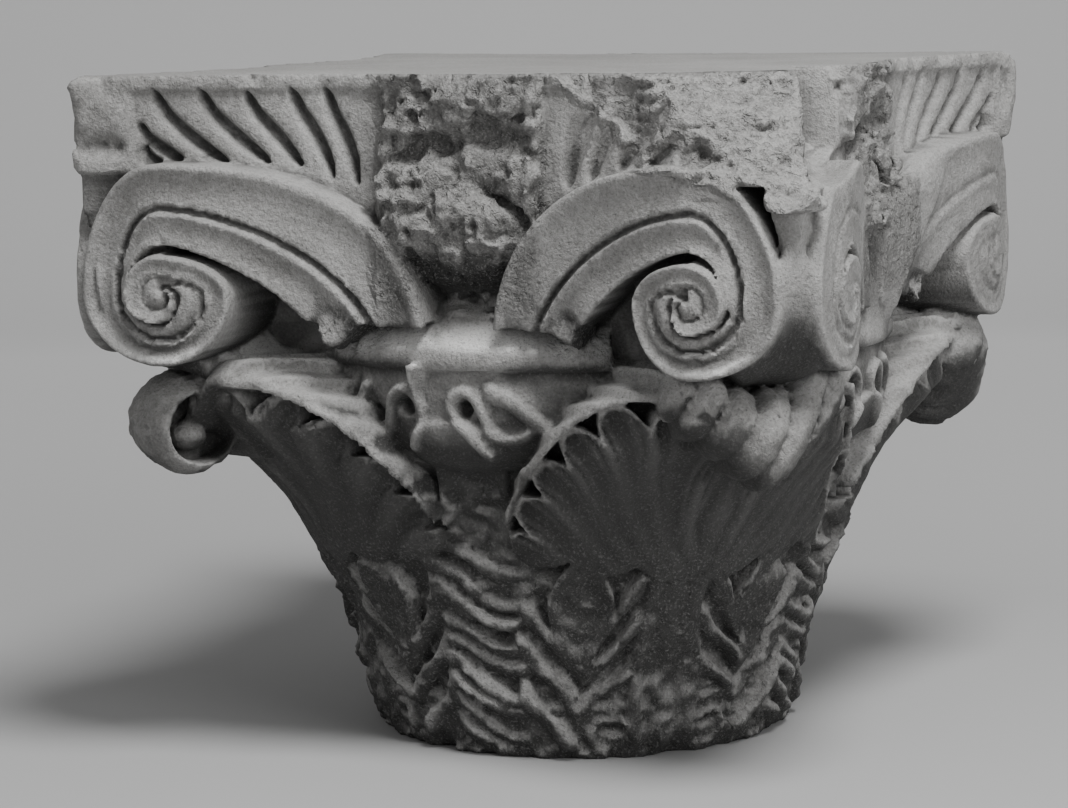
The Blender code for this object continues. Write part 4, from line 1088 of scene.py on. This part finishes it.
STONE_GREY = (0.300, 0.297, 0.290, 1.0)
STAIN_GREY = (0.185, 0.182, 0.176, 1.0)
# This dark grey serves the real specks and grit, and the dirt and painted shade in the hollows.
DIRT_AND_SHADE_GREY = (0.070, 0.069, 0.067, 1.0)
# Nearly black tones: the painted shade under overhangs and in the leaves' hollows.
UNDERSIDE_SHADE_GREY = (0.016, 0.0158, 0.0154, 1.0)
PALE_UNDERSIDE_SHADE_GREY = (0.078, 0.077, 0.075, 1.0)
PALE_GREY = (0.430, 0.427, 0.417, 1.0)
FRESH_GREY = (0.240, 0.237, 0.231, 1.0)
STUMP_GREY = (0.170, 0.168, 0.163, 1.0)
# The pale tone of the painted highlight on the lip's top.
LIP_HIGHLIGHT_GREY = (0.660, 0.655, 0.643, 1.0)

marble = bpy.data.materials.new("weathered_marble")
marble.use_nodes = True
tree = marble.node_tree
shader = tree.nodes["Principled BSDF"]
place = node(tree, "ShaderNodeTexCoord", output="Object")
sunk_share, worn_edge_and_lit_top_share, coarse_share, underside_shade_share, stump_share, lit_lip_top_share, lit_veins_share = [
    node(tree, "ShaderNodeAttribute", {"attribute_name": name}, output="Fac") for name in shares
]
broad = noise(place, 9.0, 5.0, 0.6)
middling = noise(place, 45.0, 5.0, 0.65)
fine = noise(place, 260.0, 4.0, 0.7)
specks = noise(place, 700.0, 2.0, 0.5)
grit = noise(place, 620.0, 3.0, 0.65)

stain = level(broad * 0.6 + middling * 0.4, 0.40, 0.62)
# Dirt and painted shade in the hollows, from how sunk each point is.
dirt_and_shade = level(sunk_share + middling * 0.3, 0.30, 0.85)
# The painted shade's tone: nearly black, paler in patches and on the leaves' veins, where a painted highlight
# lies.
underside_shade_tone = mixed(level(middling * 0.5 + lit_veins_share * 0.6, 0.20, 0.90), UNDERSIDE_SHADE_GREY, PALE_UNDERSIDE_SHADE_GREY)
colour = STONE_GREY
for share, tone in (
    (stain * 0.9, STAIN_GREY),
    (level(fine, 0.50, 0.72) * 0.45, PALE_GREY),
    (level(1.0 - fine, 0.52, 0.72) * 0.45, STAIN_GREY),
    (coarse_share * 0.8, FRESH_GREY),
    (stump_share * 0.85, STUMP_GREY),
    # pale worn edges, and painted light on faces turned up
    (worn_edge_and_lit_top_share * level(middling, 0.35, 0.65) * 0.55, PALE_GREY),
    # dirt and painted shade in the hollows, less on broken stone
    (dirt_and_shade * (0.88 - 0.30 * coarse_share), DIRT_AND_SHADE_GREY),
    # painted shade under overhangs and in the leaves' hollows
    (underside_shade_share * 0.92, underside_shade_tone),
    # painted highlight on the lip's top
    (lit_lip_top_share * level(middling, 0.30, 0.50), LIP_HIGHLIGHT_GREY),
    ((1.0 - level(specks, 0.30, 0.36)) * 0.55, DIRT_AND_SHADE_GREY),
    (level(grit, 0.52, 0.70) * (0.14 + 0.30 * coarse_share), PALE_GREY),
    (level(1.0 - grit, 0.50, 0.68) * 0.34, DIRT_AND_SHADE_GREY),
):
    colour = mixed(share, colour, tone)
tree.links.new(colour.output, shader.inputs["Base Color"])
roughness = 0.80 + 0.12 * coarse_share
tree.links.new(roughness.output, shader.inputs["Roughness"])
shader.inputs["Specular IOR Level"].default_value = 0.25

pits = level(noise(place, 210.0, 3.0, 0.6), 0.30, 0.46)
relief = fine * (0.50 + 0.50 * coarse_share) + pits * (0.10 + 0.80 * coarse_share) + grit * 0.45
relief = relief + noise(place, 110.0, 3.0, 0.6) * (0.45 + 1.5 * coarse_share)
bumped = node(tree, "ShaderNodeBump", None, {"Strength": 1.0, "Distance": 0.0024, "Height": relief}, "Normal")
tree.links.new(bumped.output, shader.inputs["Normal"])

thinned.materials.clear()
thinned.materials.append(marble)
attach(capital, "root")
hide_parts("column_capital")

# The floor: one pale matt sheet that lies under the capital and curves up behind it. Its colour is a painted
# gradient: painted shade dark round the capital, and painted light pale far off and up the sweep.
FLOOR_HALF = 4.0
SWEEP_START = 2.2
SWEEP_RADIUS = 1.2
floor_rows = [(-FLOOR_HALF, 0.0), (SWEEP_START, 0.0)]
for step in range(1, 13):
    angle = math.radians(90.0 * step / 12)
    floor_rows.append((SWEEP_START + SWEEP_RADIUS * math.sin(angle), SWEEP_RADIUS * (1.0 - math.cos(angle))))
floor_rows.append((SWEEP_START + SWEEP_RADIUS, 4.0))
VIEW_ANGLE = math.radians(21.0)
back = Vector((-math.sin(VIEW_ANGLE), math.cos(VIEW_ANGLE), 0.0))
right = Vector((math.cos(VIEW_ANGLE), math.sin(VIEW_ANGLE), 0.0))
floor_points = []
for distance, height in floor_rows:
    for side in (-FLOOR_HALF, FLOOR_HALF):
        floor_points.append(back * distance + right * side + Vector((0.0, 0.0, height)))
floor_faces = [(2 * row, 2 * row + 1, 2 * row + 3, 2 * row + 2) for row in range(len(floor_rows) - 1)]
floor_mesh = bpy.data.meshes.new("floor")
floor_mesh.from_pydata(floor_points, [], floor_faces)
floor_mesh.shade_smooth()
floor = in_scene("floor", floor_mesh)
pale = bpy.data.materials.new("pale_floor")
pale.use_nodes = True
sheet = pale.node_tree
away = node(sheet, "ShaderNodeTexCoord", output="Object")
away = node(sheet, "ShaderNodeVectorMath", {"operation": "LENGTH"}, {0: away}, "Value")
# Painted shade and light: dark grey within half a metre of the middle, rising to pale grey at two metres and
# beyond.
tone = mixed(level(away, 0.5, 2.0), (0.38, 0.38, 0.38, 1.0), (0.74, 0.74, 0.74, 1.0))
matt = sheet.nodes["Principled BSDF"]
sheet.links.new(tone.output, matt.inputs["Base Color"])
matt.inputs["Roughness"].default_value = 0.9
floor_mesh.materials.append(pale)

# The camera: a long lens to the left of the near corner and a little above the slab, 2 m away. It looks down
# by under 8 degrees and is rolled by under one.
IMAGE_WIDTH = 1068
FOCAL_PIXELS = 3270.0
SENSOR_WIDTH = 36.0
CAMERA_DISTANCE = 1.9836
CAMERA_HEIGHT = 0.459
YAW_PIXELS = 47.0
PITCH = math.radians(7.65)
ROLL = math.radians(0.85)
heading = math.atan2(math.cos(VIEW_ANGLE), -math.sin(VIEW_ANGLE)) + math.atan(YAW_PIXELS / FOCAL_PIXELS)
forward = Vector((math.cos(heading) * math.cos(PITCH), math.sin(heading) * math.cos(PITCH), -math.sin(PITCH)))
level_right = forward.cross(Vector((0.0, 0.0, 1.0))).normalized()
level_up = level_right.cross(forward)
camera_right = math.cos(ROLL) * level_right - math.sin(ROLL) * level_up
camera_up = math.sin(ROLL) * level_right + math.cos(ROLL) * level_up
lens = bpy.data.cameras.new("camera")
lens.sensor_width = SENSOR_WIDTH
lens.lens = FOCAL_PIXELS / IMAGE_WIDTH * SENSOR_WIDTH
camera = in_scene("camera", lens)
turned = Matrix((camera_right, camera_up, -forward)).transposed().to_4x4()
stand = Vector((math.sin(VIEW_ANGLE), -math.cos(VIEW_ANGLE), 0.0)) * CAMERA_DISTANCE
camera.matrix_world = Matrix.Translation(stand + Vector((0.0, 0.0, CAMERA_HEIGHT))) @ turned
bpy.context.scene.camera = camera

# The light: one large soft lamp high on the right, two weaker ones low on the left and the right, and a dim
# even sky. All are set up round the capital and aimed at its middle.


def lamp(name, position, size, watts):
    data = bpy.data.lights.new(name, "AREA")
    data.shape = "DISK"
    data.size = size
    data.energy = watts
    made = in_scene(name, data)
    made.location = position
    made.rotation_euler = (Vector((0.0, 0.0, 0.2)) - Vector(position)).to_track_quat("-Z", "Y").to_euler()


lamp("key", (0.80, -0.85, 2.35), 0.9, 80.0)
lamp("fill", (-1.6, -1.6, 1.1), 1.6, 4.0)
lamp("side", (1.7, -0.9, 0.7), 1.2, 14.0)
world = bpy.data.worlds.new("dim_sky")
world.use_nodes = True
sky = world.node_tree.nodes["Background"]
sky.inputs["Color"].default_value = (1.0, 1.0, 1.0, 1.0)
sky.inputs["Strength"].default_value = 0.28
bpy.context.scene.world = world
